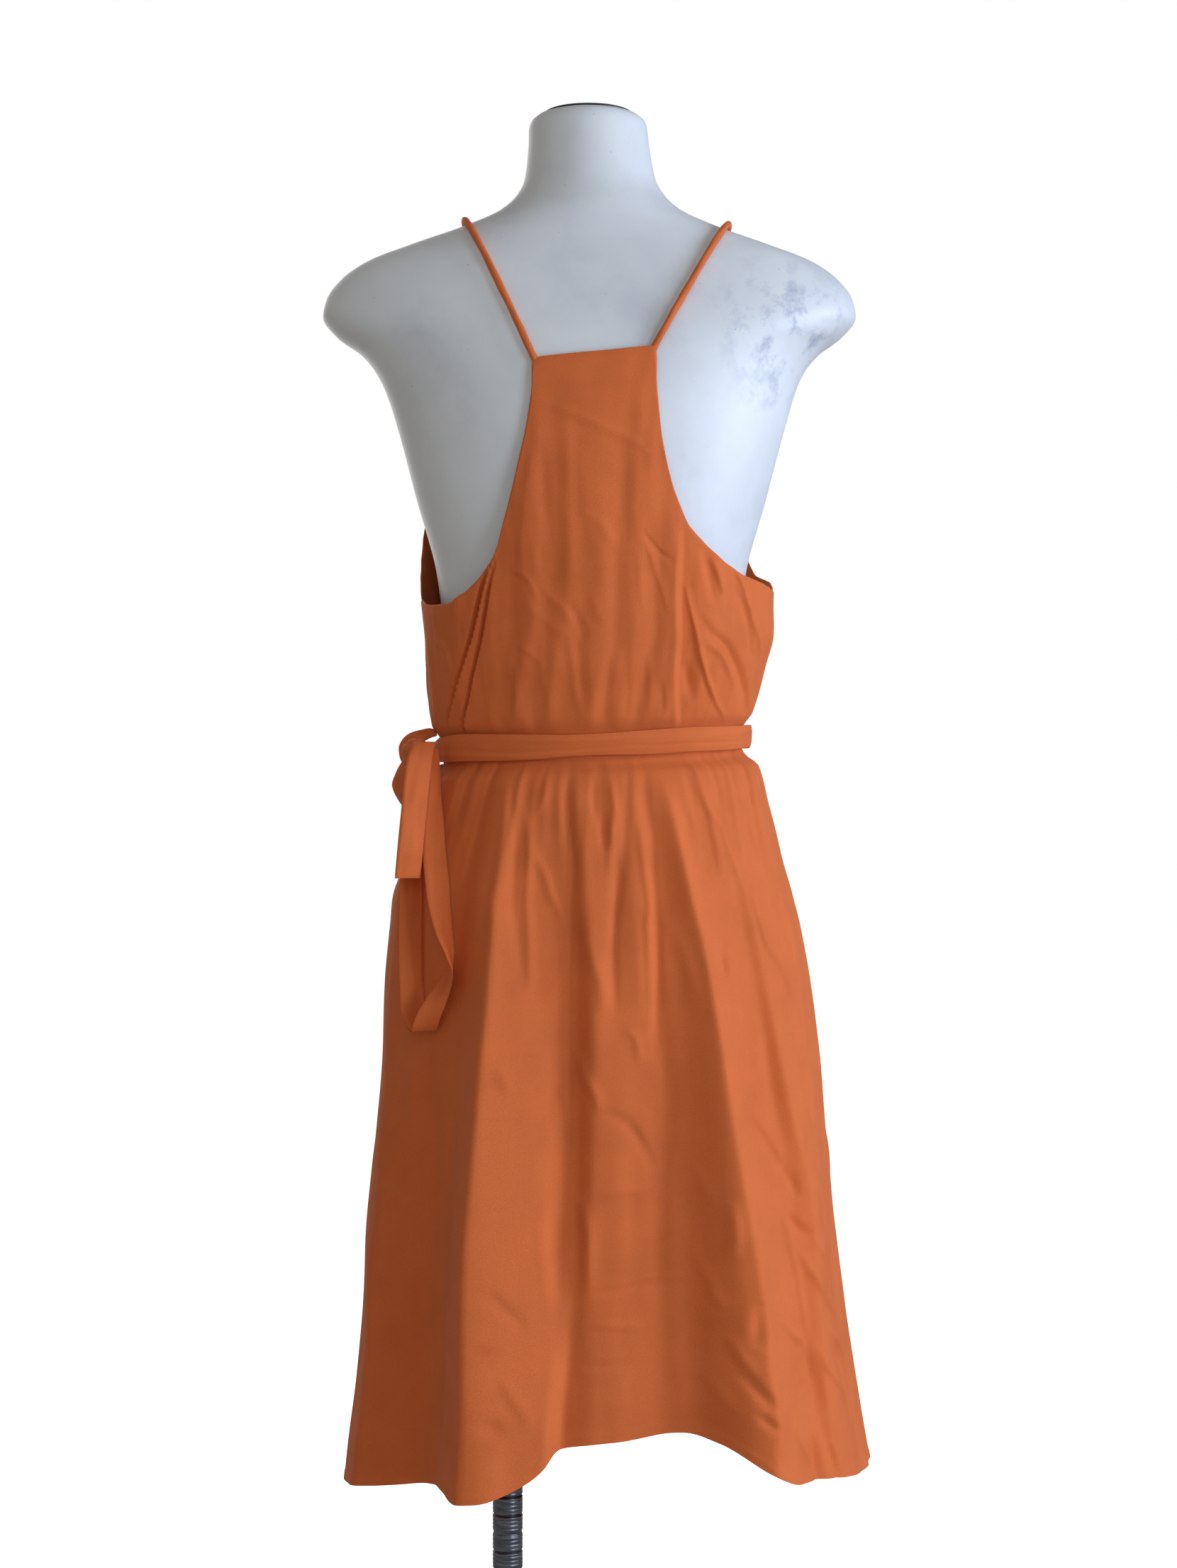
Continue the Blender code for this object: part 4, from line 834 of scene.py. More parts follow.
for number in range(GATHER_COUNT):
    middle = (number + chance.uniform(*GATHER_PLACE)) * 360 / GATHER_COUNT
    length = chance.uniform(*GATHER_LENGTH)
    rise = chance.uniform(*GATHER_RISE) * chance.choice((1, 1, -1))
    top = float(waist_z(np.array(middle))) + GATHER_TOP
    path = ((middle, top), (middle + chance.uniform(*GATHER_BEND), top - 0.025),
            (middle + chance.uniform(*GATHER_DRIFT), top - 0.030 - length))
    gather = Crease(rise, chance.uniform(*GATHER_WIDTH), path, chance.uniform(*GATHER_LEAN))
    if not GATHERED_BY_HAND[0] < middle < GATHERED_BY_HAND[1]:
        gather_rows.append(gather)
print("gathers:", len(gather_rows))

# %% [markdown]
# A point of the skirt starts on the oval section at its height. The fold lines slide it sideways and
# then push it out, and the creases, the gathers, the wrinkles and the hem's step are laid on top. The
# waist seam holds the cloth still, so the large folds only grow below it. The skirt has three panels:
# the back, the under front and the over front, which ends in a free edge.

# %% The skirt's surface
HEM_DEPTH = 0.0075          # the hem is turned up this far and stitched
HEM_STEP = 0.00045
HELD_BELOW = 0.030          # the large folds grow over this height below the waist seam
GATHERS_START, GATHERS_GROW = 0.004, 0.010
SKIRT_WRINKLES = table(Wrinkle, ((0.0011, 9.0, 0.16, 3.1), (0.0007, 4.0, 0.05, 8.4)))
SKIRT_REACH = 0.17
SEAM_DEPTH, SEAM_WIDTH = 0.0016, 1.6    # metres in, degrees to each side
FINER_HEM = 1.1             # over 1, the grid's rows lie closer at the hem


def skirt_surface(angle, z, over=False, edge_in=0.0):
    rise, slide = fold_shape(SKIRT_LINES, angle, z)
    point, out = at_level(SKIRT_SECTIONS, angle + slide, z)
    below = waist_z(angle) - z
    loose = rise + crease_rise(SKIRT_CREASES, angle, z) + wrinkles(SKIRT_WRINKLES, angle, z)
    rise = loose * ramp(below / HELD_BELOW)
    rise = rise + crease_rise(gather_rows, angle, z) * ramp((below + GATHERS_START) / GATHERS_GROW)
    rise = rise + HEM_STEP * (z < hem_z(angle) + HEM_DEPTH) - edge_in
    lift = wrap_lift(angle) if over else 0.0
    return point + out * (rise + lift)[..., None]


def grain_of(angle, z, reach):
    return np.stack([np.radians(angle) * reach, z], -1)


def seam_dip(angle, seams):
    """A sewn seam draws the cloth in at these angles."""
    return sum(SEAM_DEPTH * np.exp(-((angle - seam) / SEAM_WIDTH) ** 2) for seam in seams)


def skirt_piece(name, start, end, columns, rows, seams, over=False):
    def place(u, v):
        angle = start + (end - start) * u
        z = hem_z(angle) + (waist_z(angle) - hem_z(angle)) * v ** FINER_HEM
        return skirt_surface(angle, z, over, seam_dip(angle, seams)), grain_of(angle, z, SKIRT_REACH)
    return finish_cloth(grid_piece(name, columns, rows, place), crepe, thickness=CLOTH)


# %% The skirt's three panels
UNDER_EDGE, OVER_EDGE = -141.0, 327.0
skirt_back = skirt_piece("skirt_back_cloth", BACK_LEFT, BACK_RIGHT, 236, 190, (BACK_LEFT, BACK_RIGHT))
skirt_left = skirt_piece("skirt_front_left_cloth", UNDER_EDGE, FRONT_SIDE, 150, 150, (FRONT_SIDE,))
skirt_right = skirt_piece("skirt_front_right_cloth", 180 - FRONT_SIDE, OVER_EDGE, 160, 150,
                          (180 - FRONT_SIDE,), over=True)
put_on(skirt_back, "skirt_back")
put_on(skirt_left, "skirt_front_left")
put_on(skirt_right, "skirt_front_right")

# %% [markdown]
# ## The bodice
# The racer back is one panel. The sash pulls it in, so its lower sides are gathered into long soft
# pleats: two at the left whose edges fold over and throw a shadow, and a fan of smaller ones at the
# right. The middle panel stays nearly flat, with faint lines down it.

# %% The bodice's fold lines
OUTER_PLEAT = pleat(
    (1036, 24.5, 0, 1.3), (1044.5, 26.4, 2.6, 1.3), (1053.5, 29.2, 5.2, 1.3), (1062.5, 32, 7, 1.3),
    (1076.5, 36.4, 8.4, 1.3), (1092.5, 41, 9, 1.3), (1105, 43.6, 9.2, 1.35), (1118, 46.2, 9.2, 1.4),
    (1136.5, 49.8, 9.2, 1.4), (1150, 52.3, 7.8, 1.2), (1158, 54.1, 5, 1), (1164, 55.7, 2.6, 0.8),
    (1169, 57.2, 0.8, 0.6), (1173, 58.4, 0, 0.5),
)
INNER_PLEAT = pleat(
    (1030, 33.5, 3.6, 1), (1040.5, 36.6, 7.6, 1), (1051, 39.6, 8, 1), (1062, 41.9, 8, 1),
    (1083, 45.4, 8, 1), (1095, 47.4, 8, 1), (1108, 49.4, 8, 1), (1121.5, 51.3, 7.6, 0.95),
    (1137.5, 53.7, 6.6, 0.9), (1152.5, 55.8, 4.8, 0.75), (1160, 57, 3.2, 0.6), (1166, 58.2, 1.4, 0.5),
    (1171, 59.6, 0, 0.4),
)
BODICE_LINES = (*OUTER_PLEAT, *INNER_PLEAT, *(fold_line(*row) for row in (
    (2, (1020, -8, 0), (1200, -8, 0)),
    (2.5, (1030, 9, 2), (1100, 10, 1.5), (1150, 10, 0)),
    (1.6, (1030, 57, 1), (1060, 58, 0.6), (1120, 61.5, -1.2), (1170, 64, -0.6), (1220, 66, 0)),
    (1.6, (1030, 66, 2.2), (1060, 66, 1.8), (1100, 67, 1), (1150, 70, 1.2), (1200, 74, 1),
     (1270, 76.5, 0.8), (1310, 77, 0)),
    (1.6, (1030, 70, -0.4), (1080, 71, 0), (1140, 76, -0.8), (1180, 80, -1.4), (1240, 81.5, -1),
     (1300, 82, 0)),
    (1.2, (1030, 75, 1.6), (1070, 76, 1.6), (1110, 79, 0.8), (1180, 83, 1), (1250, 83.5, 0.6),
     (1310, 84, 0)),
    (1.4, (1030, 82, -0.8), (1080, 83, -0.8), (1150, 86, -0.6), (1250, 87, -0.4), (1310, 88, 0)),
    (1.4, (1030, 89, 1.6), (1080, 89, 1.4), (1120, 90, 1), (1200, 92, 1.2), (1270, 92, 0.6),
     (1310, 92, 0)),
    (1.4, (1030, 93, -0.6), (1100, 94, -1), (1200, 97, -0.6), (1310, 98, 0)),
    (1.4, (1030, 98, 1.6), (1070, 98.5, 1.2), (1120, 100, 0.6), (1220, 101, 0.6), (1310, 101, 0)),
    (1.6, (1030, 104, -0.6), (1080, 105, -1.2), (1140, 107, -0.6), (1200, 108, 0)),
    (1.6, (1030, 109, 1.4), (1070, 108, 1), (1120, 109, 0.6), (1200, 110, 0)),
    (1, (1045, 120.5, 2), (1050, 119, 2.4), (1075, 116, 3.6), (1100, 114.5, 4), (1120, 113.6, 4),
     (1160, 114, 3), (1205, 115, 0.8), (1230, 115, 0)),
    (0.9, (1045, 122, -1), (1075, 117.8, -1.6), (1100, 116.4, -2), (1120, 115.6, -1.8), (1160, 116, -1),
     (1205, 116.4, 0)),
    (1.5, (1030, 132, 0), (1060, 128, 0.4), (1100, 125, 2.6), (1150, 124, 2), (1180, 123, 0)),
    (3, (1030, 146, 0), (1100, 142, 0), (1160, 140, 0)),
    (2.2, (1050, 156, 1), (1100, 157, 1.4), (1140, 158, 2.2), (1158, 158, 1)),
    (2.5, (1030, 170, 0), (1150, 170, -1)),
    (2.5, (1030, 186, 0), (1200, 186, 0)),
    (1.8, (1030, 203, 3), (1080, 206, 3.4), (1130, 210, 1.6), (1200, 214, 0)),
    (1.6, (1030, 211, -2), (1080, 215, -2.2), (1130, 219, -1), (1200, 222, 0)),
    (1.8, (1030, 221, 2.6), (1080, 226, 3), (1130, 231, 1.6), (1200, 236, 0)),
    (1.8, (1030, 233, -1.6), (1080, 237, -2), (1140, 243, -0.8), (1200, 248, 0)),
    (1.8, (1030, 247, 2.8), (1080, 250, 3), (1130, 253, 1.4), (1200, 256, 0)),
    (2.2, (1030, 262, -1), (1100, 264, -1.4), (1160, 266, 0)),
    (2, (1030, 277, 2), (1080, 277, 2.2), (1140, 277, 0.8), (1200, 276, 0)),
    (1.8, (1030, 290, -1.8), (1090, 288, -2), (1150, 286, 0)),
    (1.6, (1030, 303, 2.8), (1090, 299, 3), (1150, 295, 1), (1200, 292, 0)),
    (1.6, (1030, 314, -2), (1090, 309, -2.4), (1150, 304, -0.6), (1200, 301, 0)),
    (1.6, (1030, 324, 2.8), (1090, 318, 3.2), (1150, 312, 1.2), (1200, 308, 0)),
    (2, (1030, 338, -1.4), (1090, 333, -1.8), (1160, 326, 0)),
)))
print("bodice fold lines:", len(BODICE_LINES))

# %% The bodice's small creases
BODICE_CREASES = creases((
    (1.3, 2, 0, 79, 1286, 84.8, 1279, 89.5, 1273, 92.3, 1267, 97.6, 1261, 104.8, 1250),
    (0.8, 4.5, -0.3, 76.7, 1269, 73.8, 1237, 70.9, 1211, 68.6, 1184, 66.4, 1155),
    (-0.8, 4, 0.2, 77.9, 1255, 77.5, 1216, 77.4, 1195, 75.4, 1163),
    (0.4, 2.4, -0.3, 84.6, 1277, 84.4, 1247, 84.2, 1215),
    (0.5, 3.6, -0.3, 87.2, 1255, 87.5, 1221, 87.7, 1197),
    (-0.5, 3.6, 0.2, 96.2, 1269, 97.1, 1242, 97.2, 1213, 95.3, 1192),
    (0.8, 2.2, -0.3, 85.7, 1205, 89, 1200, 91.6, 1194, 93.3, 1185, 95.5, 1173),
    (-0.9, 2.2, 0.3, 102.7, 1191, 106.1, 1181, 109.3, 1173, 113.1, 1167),
    (0.6, 2.6, -0.3, 103.4, 1188, 106.1, 1168, 109.5, 1143, 111.1, 1128),
    (0.7, 2.1, -0.3, 63.8, 1160, 68, 1156, 70.1, 1149, 71.9, 1137),
    (0.7, 2.1, -0.3, 62.3, 1106, 66.5, 1101, 70, 1096, 73.9, 1086),
    (0.8, 2.3, -0.3, 73.8, 1148, 76.4, 1138, 80, 1130, 81.9, 1119),
    (-0.9, 2.3, 0, 81.1, 1137, 83.3, 1126, 85, 1116, 85.6, 1105),
    (0.6, 2.4, -0.2, 66.9, 1132, 72.3, 1126, 77.1, 1116, 80.8, 1111),
    (0.6, 2, -0.2, 88.7, 1141, 89.6, 1127),
    (-0.7, 2, 0, 86.8, 1127, 90, 1118),
    (0.9, 2.6, -0.3, 80.6, 1112, 82.4, 1094, 83.3, 1077, 85.1, 1061, 87, 1049),
    (-0.7, 2.6, 0.2, 83.5, 1110, 85.4, 1093, 86.2, 1075, 88.1, 1057),
    (0.9, 3.4, -0.3, 63.6, 1091, 63.9, 1073, 63.8, 1047),
    (0.7, 3, -0.2, 90.7, 1090, 89.9, 1074, 89, 1054),
    (0.9, 3.2, -0.3, 94.9, 1099, 94.9, 1078, 95.2, 1048),
    (-0.6, 3, 0.2, 97.4, 1110, 99.1, 1083, 100.8, 1050),
    (0.8, 3, -0.3, 105.2, 1099, 106.9, 1078, 108.8, 1050),
    (-0.6, 2.6, 0.2, 110.5, 1078, 113.7, 1052),
    (0.6, 3, -0.2, 73.1, 1083, 75, 1065, 76.1, 1047),
    (0.6, 2.6, -0.2, 100.7, 1179, 102.3, 1152, 103, 1126),
    (2.4, 2.4, -0.4, 117.5, 1150, 119.2, 1127, 121.8, 1106, 126.9, 1084, 135.1, 1063, 146.1, 1047),
    (-3.4, 5, 0.3, 121.4, 1127, 126.5, 1115, 136.3, 1103, 145.3, 1087, 154.8, 1069, 165.9, 1051),
    (2.6, 4.2, -0.2, 122.4, 1109, 131.3, 1101, 137.6, 1090, 144, 1075),
    (-1.8, 4.5, 0, 118, 1094, 121.3, 1080, 124.7, 1063),
    (2.2, 3.4, -0.3, 126.5, 1172, 129.2, 1159, 132, 1144),
    (2.2, 2.6, -0.3, 134, 1171, 140.6, 1155, 144.4, 1139, 147.9, 1122, 156.3, 1102, 161.3, 1079),
    (-2, 4, 0, 123.5, 1180, 125.7, 1159, 128.2, 1137),
    (-1.6, 3, 0.2, 137.8, 1151, 142.7, 1135, 146.2, 1116, 151.9, 1096),
    (1.8, 5.5, 0.2, 14, 1115, 18, 1080, 17, 1046),
    (-1.8, 5, 0, 4, 1090, 8, 1045),
    (1.6, 5, 0, -3, 1100, 1, 1050),
    (1.2, 5, 0, 38, 1128, 42, 1148),
    (1.4, 4.5, 0, 24, 1120, 31, 1100, 35, 1085),
    (1.8, 5, 0, 196, 1120, 200, 1070, 198, 1045),
    (1.4, 4.5, 0, 214, 1090, 216, 1045),
    (1.6, 5, 0, 232, 1120, 238, 1080, 240, 1045),
    (1.4, 4.5, 0, 256, 1100, 256, 1045),
    (1.6, 5, 0, 268, 1130, 270, 1045),
    (1.4, 4.5, 0, 284, 1100, 283, 1045),
    (1.8, 5.5, 0, 296, 1110, 300, 1045),
    (1.4, 5, 0, 330, 1110, 336, 1050),
    (-1.4, 6, 0, 236, 1200, 250, 1165, 262, 1150),
    (-1.2, 6, 0, 300, 1190, 288, 1160, 278, 1150),
))
print("bodice creases:", len(BODICE_CREASES))

# %% [markdown]
# A point of the bodice is found in the same way as one of the skirt. Two things differ: the bust
# lifts the fronts, and the sash holds the cloth from below, so the folds grow above it.

# %% The bodice's surface
SASH_EDGE = 0.0065          # from the sash's middle to where its grip ends
ABOVE_SASH = 0.016          # the height over which the sash lets a fold go
BODICE_REACH = 0.125
BODICE_WRINKLES = table(Wrinkle, ((0.0009, 7.0, 0.09, 5.5), (0.0005, 3.2, 0.03, 2.7)))


def bodice_surface(angle, z, over=False, edge_in=0.0):
    rise, slide = fold_shape(BODICE_LINES, angle, z)
    point, out = at_level(BODICE_SECTIONS, angle + slide, z)
    chest = bust_rise(CLOTH_BUST, point[..., 0], z) * np.abs(out[..., 1])
    point[..., 1] -= np.where(sine_of(angle) < 0, chest, 0.0)
    rise = rise + crease_rise(BODICE_CREASES, angle, z, BODICE_REACH) + wrinkles(BODICE_WRINKLES, angle, z)
    rise = rise * ramp((z - sash_middle_z(angle) - SASH_EDGE) / ABOVE_SASH)
    lift = wrap_lift(angle) if over else 0.0
    return point + out * (rise + lift - edge_in)[..., None]


print("wrinkles on the bodice rise", BODICE_WRINKLES[0].rise * MM, "mm at most")

# %% [markdown]
# The racer back is one sheet between the waist seam and a rim. The rim goes up the left armhole,
# across the top and down the right armhole, and each column of the grid runs from a place at the
# waist to a place on the rim. The pleats at both sides get more columns than the flat middle.

# %% Racer back
Rim = namedtuple("Rim", "number waist_angle angle z")
BACK_RIM = table(Rim, (
    (0, BACK_LEFT, BACK_LEFT, 1.1470), (1, 7, 9, 1.1425), (2, 17, 21, 1.1388), (3, 27, 33, 1.1385),
    (4, 36, 44, 1.1460), (5, 43, 51, 1.1565), (6, 49, 57.5, 1.1720), (7, 54, 62, 1.1940),
    (8, 59, 67.5, 1.2240), (9, 64, 72.8, 1.2620), (10, 69, 76.1, 1.2940), (11, 74, 78, 1.3200),
    (12, 82, 86, 1.3235), (13, 90, 94.3, 1.3268), (14, 98, 102.5, 1.3300), (15, 104, 105.2, 1.2980),
    (16, 110, 108.2, 1.2620), (17, 116, 113.0, 1.2220), (18, 122, 118.6, 1.1950),
    (19, 128, 125.0, 1.1810), (20, 135, 133.0, 1.1685), (21, 144, 142.5, 1.1600),
    (22, 155, 154.5, 1.1555), (23, 168, 168, 1.1525), (24, BACK_RIGHT, BACK_RIGHT, 1.1530),
))
Crowd = namedtuple("Crowd", "share number")     # which share of the columns lies up to a rim number
CROWD = table(Crowd, ((0, 0), (0.06, 2), (0.42, 9), (0.60, 16), (0.90, 21.5), (1, 24)))
STRAIGHT = 0.35             # the rim is this much straight from place to place, and curved for the rest
RIM_IN = 0.0014             # the rim is turned in and stitched, which draws it towards the body
RIM_STARTS = 0.985          # as a share of the way up


def back_place(u, v):
    number = np.interp(u, column(CROWD, "share"), column(CROWD, "number"))
    waist_angle = read(BACK_RIM, "number", "waist_angle", number)
    angle, top = (np.interp(number, column(BACK_RIM, "number"), column(BACK_RIM, name)) * STRAIGHT
                  + read(BACK_RIM, "number", name, number) * (1 - STRAIGHT) for name in ("angle", "z"))
    here = waist_angle + (angle - waist_angle) * ramp(v)
    z = waist_z(here) + (top - waist_z(here)) * v
    drawn_in = RIM_IN * ramp((v - RIM_STARTS) / (1 - RIM_STARTS))
    return bodice_surface(here, z, edge_in=drawn_in), grain_of(here, z, BODICE_REACH)


bodice_back = finish_cloth(grid_piece("bodice_back_cloth", 300, 124, back_place), crepe, thickness=CLOTH)
put_on(bodice_back, "bodice_back")

# %% [markdown]
# Each front runs from its side seam and armhole to a slanting neckline, and narrows to a short top
# edge, where the strap is sewn. Both are told as if they were on the left, and one is mirrored.

# %% Wrapped fronts
Edge = namedtuple("Edge", "share angle z other_angle other_z")
LEFT_FRONT_EDGES = table(Edge, (    # side edge and armhole, then the waist end and the neckline
    (0.00, FRONT_SIDE, WAIST_Z, -141.0, WAIST_Z), (0.20, FRONT_SIDE, 1.072, -124.0, 1.058),
    (0.40, FRONT_SIDE, 1.124, -105.5, 1.098), (0.48, FRONT_SIDE, 1.1470, -98.5, 1.1130),
    (0.56, -8.0, 1.1640, -92.0, 1.1300), (0.66, -17.0, 1.1930, -83.5, 1.1580),
    (0.78, -31.0, 1.2310, -73.0, 1.2030), (0.90, -44.0, 1.2720, -62.5, 1.2560),
    (1.00, -51.5, 1.3030, -55.5, 1.3000),
))
RIGHT_FRONT_EDGES = table(Edge, (
    (0.00, FRONT_SIDE, WAIST_Z, -141.0, WAIST_Z), (0.20, FRONT_SIDE, 1.075, -124.0, 1.058),
    (0.40, FRONT_SIDE, 1.130, -105.5, 1.098), (0.48, FRONT_SIDE, 1.1530, -98.5, 1.1130),
    (0.56, -28.0, 1.1700, -92.0, 1.1300), (0.66, -35.0, 1.1920, -83.5, 1.1580),
    (0.78, -41.0, 1.2280, -73.0, 1.2030), (0.90, -46.0, 1.2720, -62.5, 1.2560),
    (1.00, -51.5, 1.3030, -55.5, 1.3000),
))
LEVEL_BY = 0.5              # the waist's slope dies away over this share of the way up


def front_piece(name, edges, over=False, mirrored=False):
    def place(u, v):
        across = 1 - u if mirrored else u
        angle, z, other_angle, other_z = (read(edges, "share", field, v) for field in Edge._fields[1:])
        here = angle + (other_angle - angle) * (1 - across)
        if mirrored:
            here = 180.0 - here
        slope = (waist_z(here) - WAIST_Z) * (1 - ramp(v / LEVEL_BY))
        height = z + (other_z - z) * (1 - across) + slope
        return bodice_surface(here, height, over), grain_of(here, height, BODICE_REACH)
    return finish_cloth(grid_piece(name, 130, 150, place), crepe, thickness=CLOTH)


bodice_left = front_piece("bodice_front_left_cloth", LEFT_FRONT_EDGES)
bodice_right = front_piece("bodice_front_right_cloth", RIGHT_FRONT_EDGES, over=True, mirrored=True)
put_on(bodice_left, "bodice_front_left")
put_on(bodice_right, "bodice_front_right")

# %% [markdown]
# ## The form
# A limbless torso, moulded in one smooth shell. It could be sculpted, but then its sizes would only be
# near those of its solid. So it is one closed grid, wrapped round its sections, with its underside
# and its neck closed by rings that shrink to the middle.

# %% Form
FORM_BOTTOM_Z, NECK_TOP_Z = 0.80, 1.531
CLOSED_BY = 0.035           # this share of the grid, at each end, closes the shell


def form_place(u, v):
    angle = u * 360
    body = np.clip((v - CLOSED_BY) / (1 - 2 * CLOSED_BY), 0, 1)
    z = FORM_BOTTOM_Z + (NECK_TOP_Z - FORM_BOTTOM_Z) * body
    point, out = on_sections(FORM_SECTIONS, angle, z)
    chest = bust_rise(FORM_BUST, point[..., 0], z) * np.abs(out[..., 1])
    point[..., 1] -= np.where(sine_of(angle) < 0, chest, 0.0)
    open_share = np.clip(np.minimum(v, 1 - v) / CLOSED_BY, 0, 1)
    middle = np.zeros_like(point)
    top = FORM_SECTIONS[-1]
    middle[..., 0] = np.where(v > 0.5, top.shift_x, 0.0)
    middle[..., 1] = np.where(v > 0.5, top.shift_y, 0.0)
    middle[..., 2] = point[..., 2]
    point = middle + (point - middle) * open_share[..., None]
    return point, np.stack([u, v], -1)


form = finish_cloth(grid_piece("form_shell", 128, 220, form_place), paint, close=True)
put_on(form, "dress_form")

# %% [markdown]
# ## Straps
# Two narrow tubes of the same crepe run from the racer back's corners over the shoulders to the
# fronts. A curve with a bevel would do, but it would have to be bent over the form by hand. A strap
# takes the shortest way over the form, so its path is found by sending rays out from the chest and
# stopping them at the form's skin, and a closed grid is wrapped round that path.

# %% Straps
STRAP_RADIUS, STRAP_GAP, CHEST_Z = 0.0026, 0.0014, 1.30
SEWN_GAP = 0.0004           # from the form where the strap goes in under the back's corner
GAP_STARTS, GAP_GROWS = 2.0, 6.0    # degrees of lean after the sewn end
RAY_NEAR, RAY_FAR = 0.02, 0.30      # the form's skin lies between these
PROBE = 0.0015              # how far the slope of the skin is felt for
TUBE_UP = (0.0, 0.31, 0.95)     # a way that no strap runs in, to set out the tube's circle
STRAP_STEPS, STRAP_PASSES = 160, 5
HALVINGS = 30               # a ray's last stretch is halved this often, to find the skin
ROUNDED_END = 0.012         # as a share of the strap's length
WAVES = ((0.00016, 2, 40), (0.00010, 3, -95))   # height, times round, and winding along the strap
Strap = namedtuple("Strap", "name back_x shoulder_x front_x back_lean front_lean")
STRAPS = table(Strap, (
    ("strap_left", 0.0411, 0.0985, 0.1022, 9.6, 179.4),
    ("strap_right", -0.0447, -0.1070, -0.1036, 14.6, 179.4),
))


def outside_form(point):
    """Under 1 inside the form, over 1 outside it."""
    half_width, back, front, _, shift_y, square = (
        read(FORM_SECTIONS, "z", name, point[..., 2]) for name in Section._fields[1:])
    y = point[..., 1] - shift_y
    depth = np.where(y >= 0, back, front + bust_rise(FORM_BUST, point[..., 0], point[..., 2]))
    return np.abs(point[..., 0] / half_width) ** square + np.abs(y / depth) ** square


def over_form(x, lean, lift):
    """The form's skin where rays inside it leave it, moved out by lift."""
    lean = np.radians(lean)
    start = np.stack([x, np.zeros_like(x), np.full_like(x, CHEST_Z)], -1)
    way = np.stack([np.zeros_like(x), np.cos(lean), np.sin(lean)], -1)
    low, high = np.full_like(x, RAY_NEAR), np.full_like(x, RAY_FAR)
    for _ in range(HALVINGS):
        middle = (low + high) / 2
        inside = outside_form(start + way * middle[..., None]) < 1
        low, high = np.where(inside, middle, low), np.where(inside, high, middle)
    skin = start + way * high[..., None]
    probe = np.eye(3) * PROBE
    out = np.stack([outside_form(skin + step) - outside_form(skin - step) for step in probe], -1)
    out /= np.linalg.norm(out, axis=-1, keepdims=True)
    return skin + out * np.broadcast_to(lift, x.shape)[..., None]


def along(path):
    """The length from a path's start to each of its points."""
    return np.concatenate([[0], np.cumsum(np.linalg.norm(np.diff(path, axis=0), axis=1))])


def tube_along(name, path, radius_at, material, around=14):
    """A closed tube along a path, its ends gathered to a point."""
    count = len(path) - 1
    way = np.gradient(path, axis=0)
    way /= np.linalg.norm(way, axis=1, keepdims=True)
    aside = np.cross(way, TUBE_UP)
    aside /= np.linalg.norm(aside, axis=1, keepdims=True)
    other = np.cross(way, aside)

    def place(u, v):
        i = np.rint(v * count).astype(int)
        turn = u * 2 * np.pi
        ring = aside[i] * np.cos(turn)[..., None] + other[i] * np.sin(turn)[..., None]
        at = path[i] + ring * radius_at(i / count, turn)[..., None]
        return at, np.stack([turn * STRAP_RADIUS, along(path)[i]], -1)
    return finish_cloth(grid_piece(name, around, count, place), material, close=True)


def strap_radius(share, turn):
    """A turned tube is never quite round: two shallow waves wind along it."""
    ends = np.clip(np.minimum(share, 1 - share) / ROUNDED_END, 0, 1) ** 0.5
    twist = sum(height * np.sin(times * turn + winding * share) for height, times, winding in WAVES)
    return (STRAP_RADIUS + twist) * ends


# %% Lay the straps
for strap in STRAPS:
    lean = np.linspace(strap.back_lean, strap.front_lean, STRAP_STEPS + 1)
    off_skin = SEWN_GAP + (STRAP_GAP - SEWN_GAP) * ramp((lean - strap.back_lean - GAP_STARTS) / GAP_GROWS)
    lift = STRAP_RADIUS + off_skin
    shoulder_z = over_form(np.array([strap.shoulder_x]), np.array([90.0]), STRAP_RADIUS + STRAP_GAP)[0, 2]
    back_half = lean < 90
    end_x = np.where(back_half, strap.back_x, strap.front_x)
    end_lean = np.where(back_half, strap.back_lean, strap.front_lean)
    end_z = over_form(end_x, end_lean, lift)[:, 2]
    x = end_x.copy()
    for _ in range(STRAP_PASSES):
        path = over_form(x, lean, lift)
        climbed = np.clip((path[:, 2] - end_z) / (shoulder_z - end_z), 0, 1)
        x = end_x + (strap.shoulder_x - end_x) * climbed
    put_on(tube_along(strap.name + "_cloth", path, strap_radius, crepe), strap.name)
    print(strap.name, "is", round(float(along(path)[-1]), 3), "m long")


# %% [markdown]
# ## The sash
# The sash is a strip sewn into a flat tube, which is crushed where it goes round the waist. It is
# pinched together towards the knot at the wearer's left.

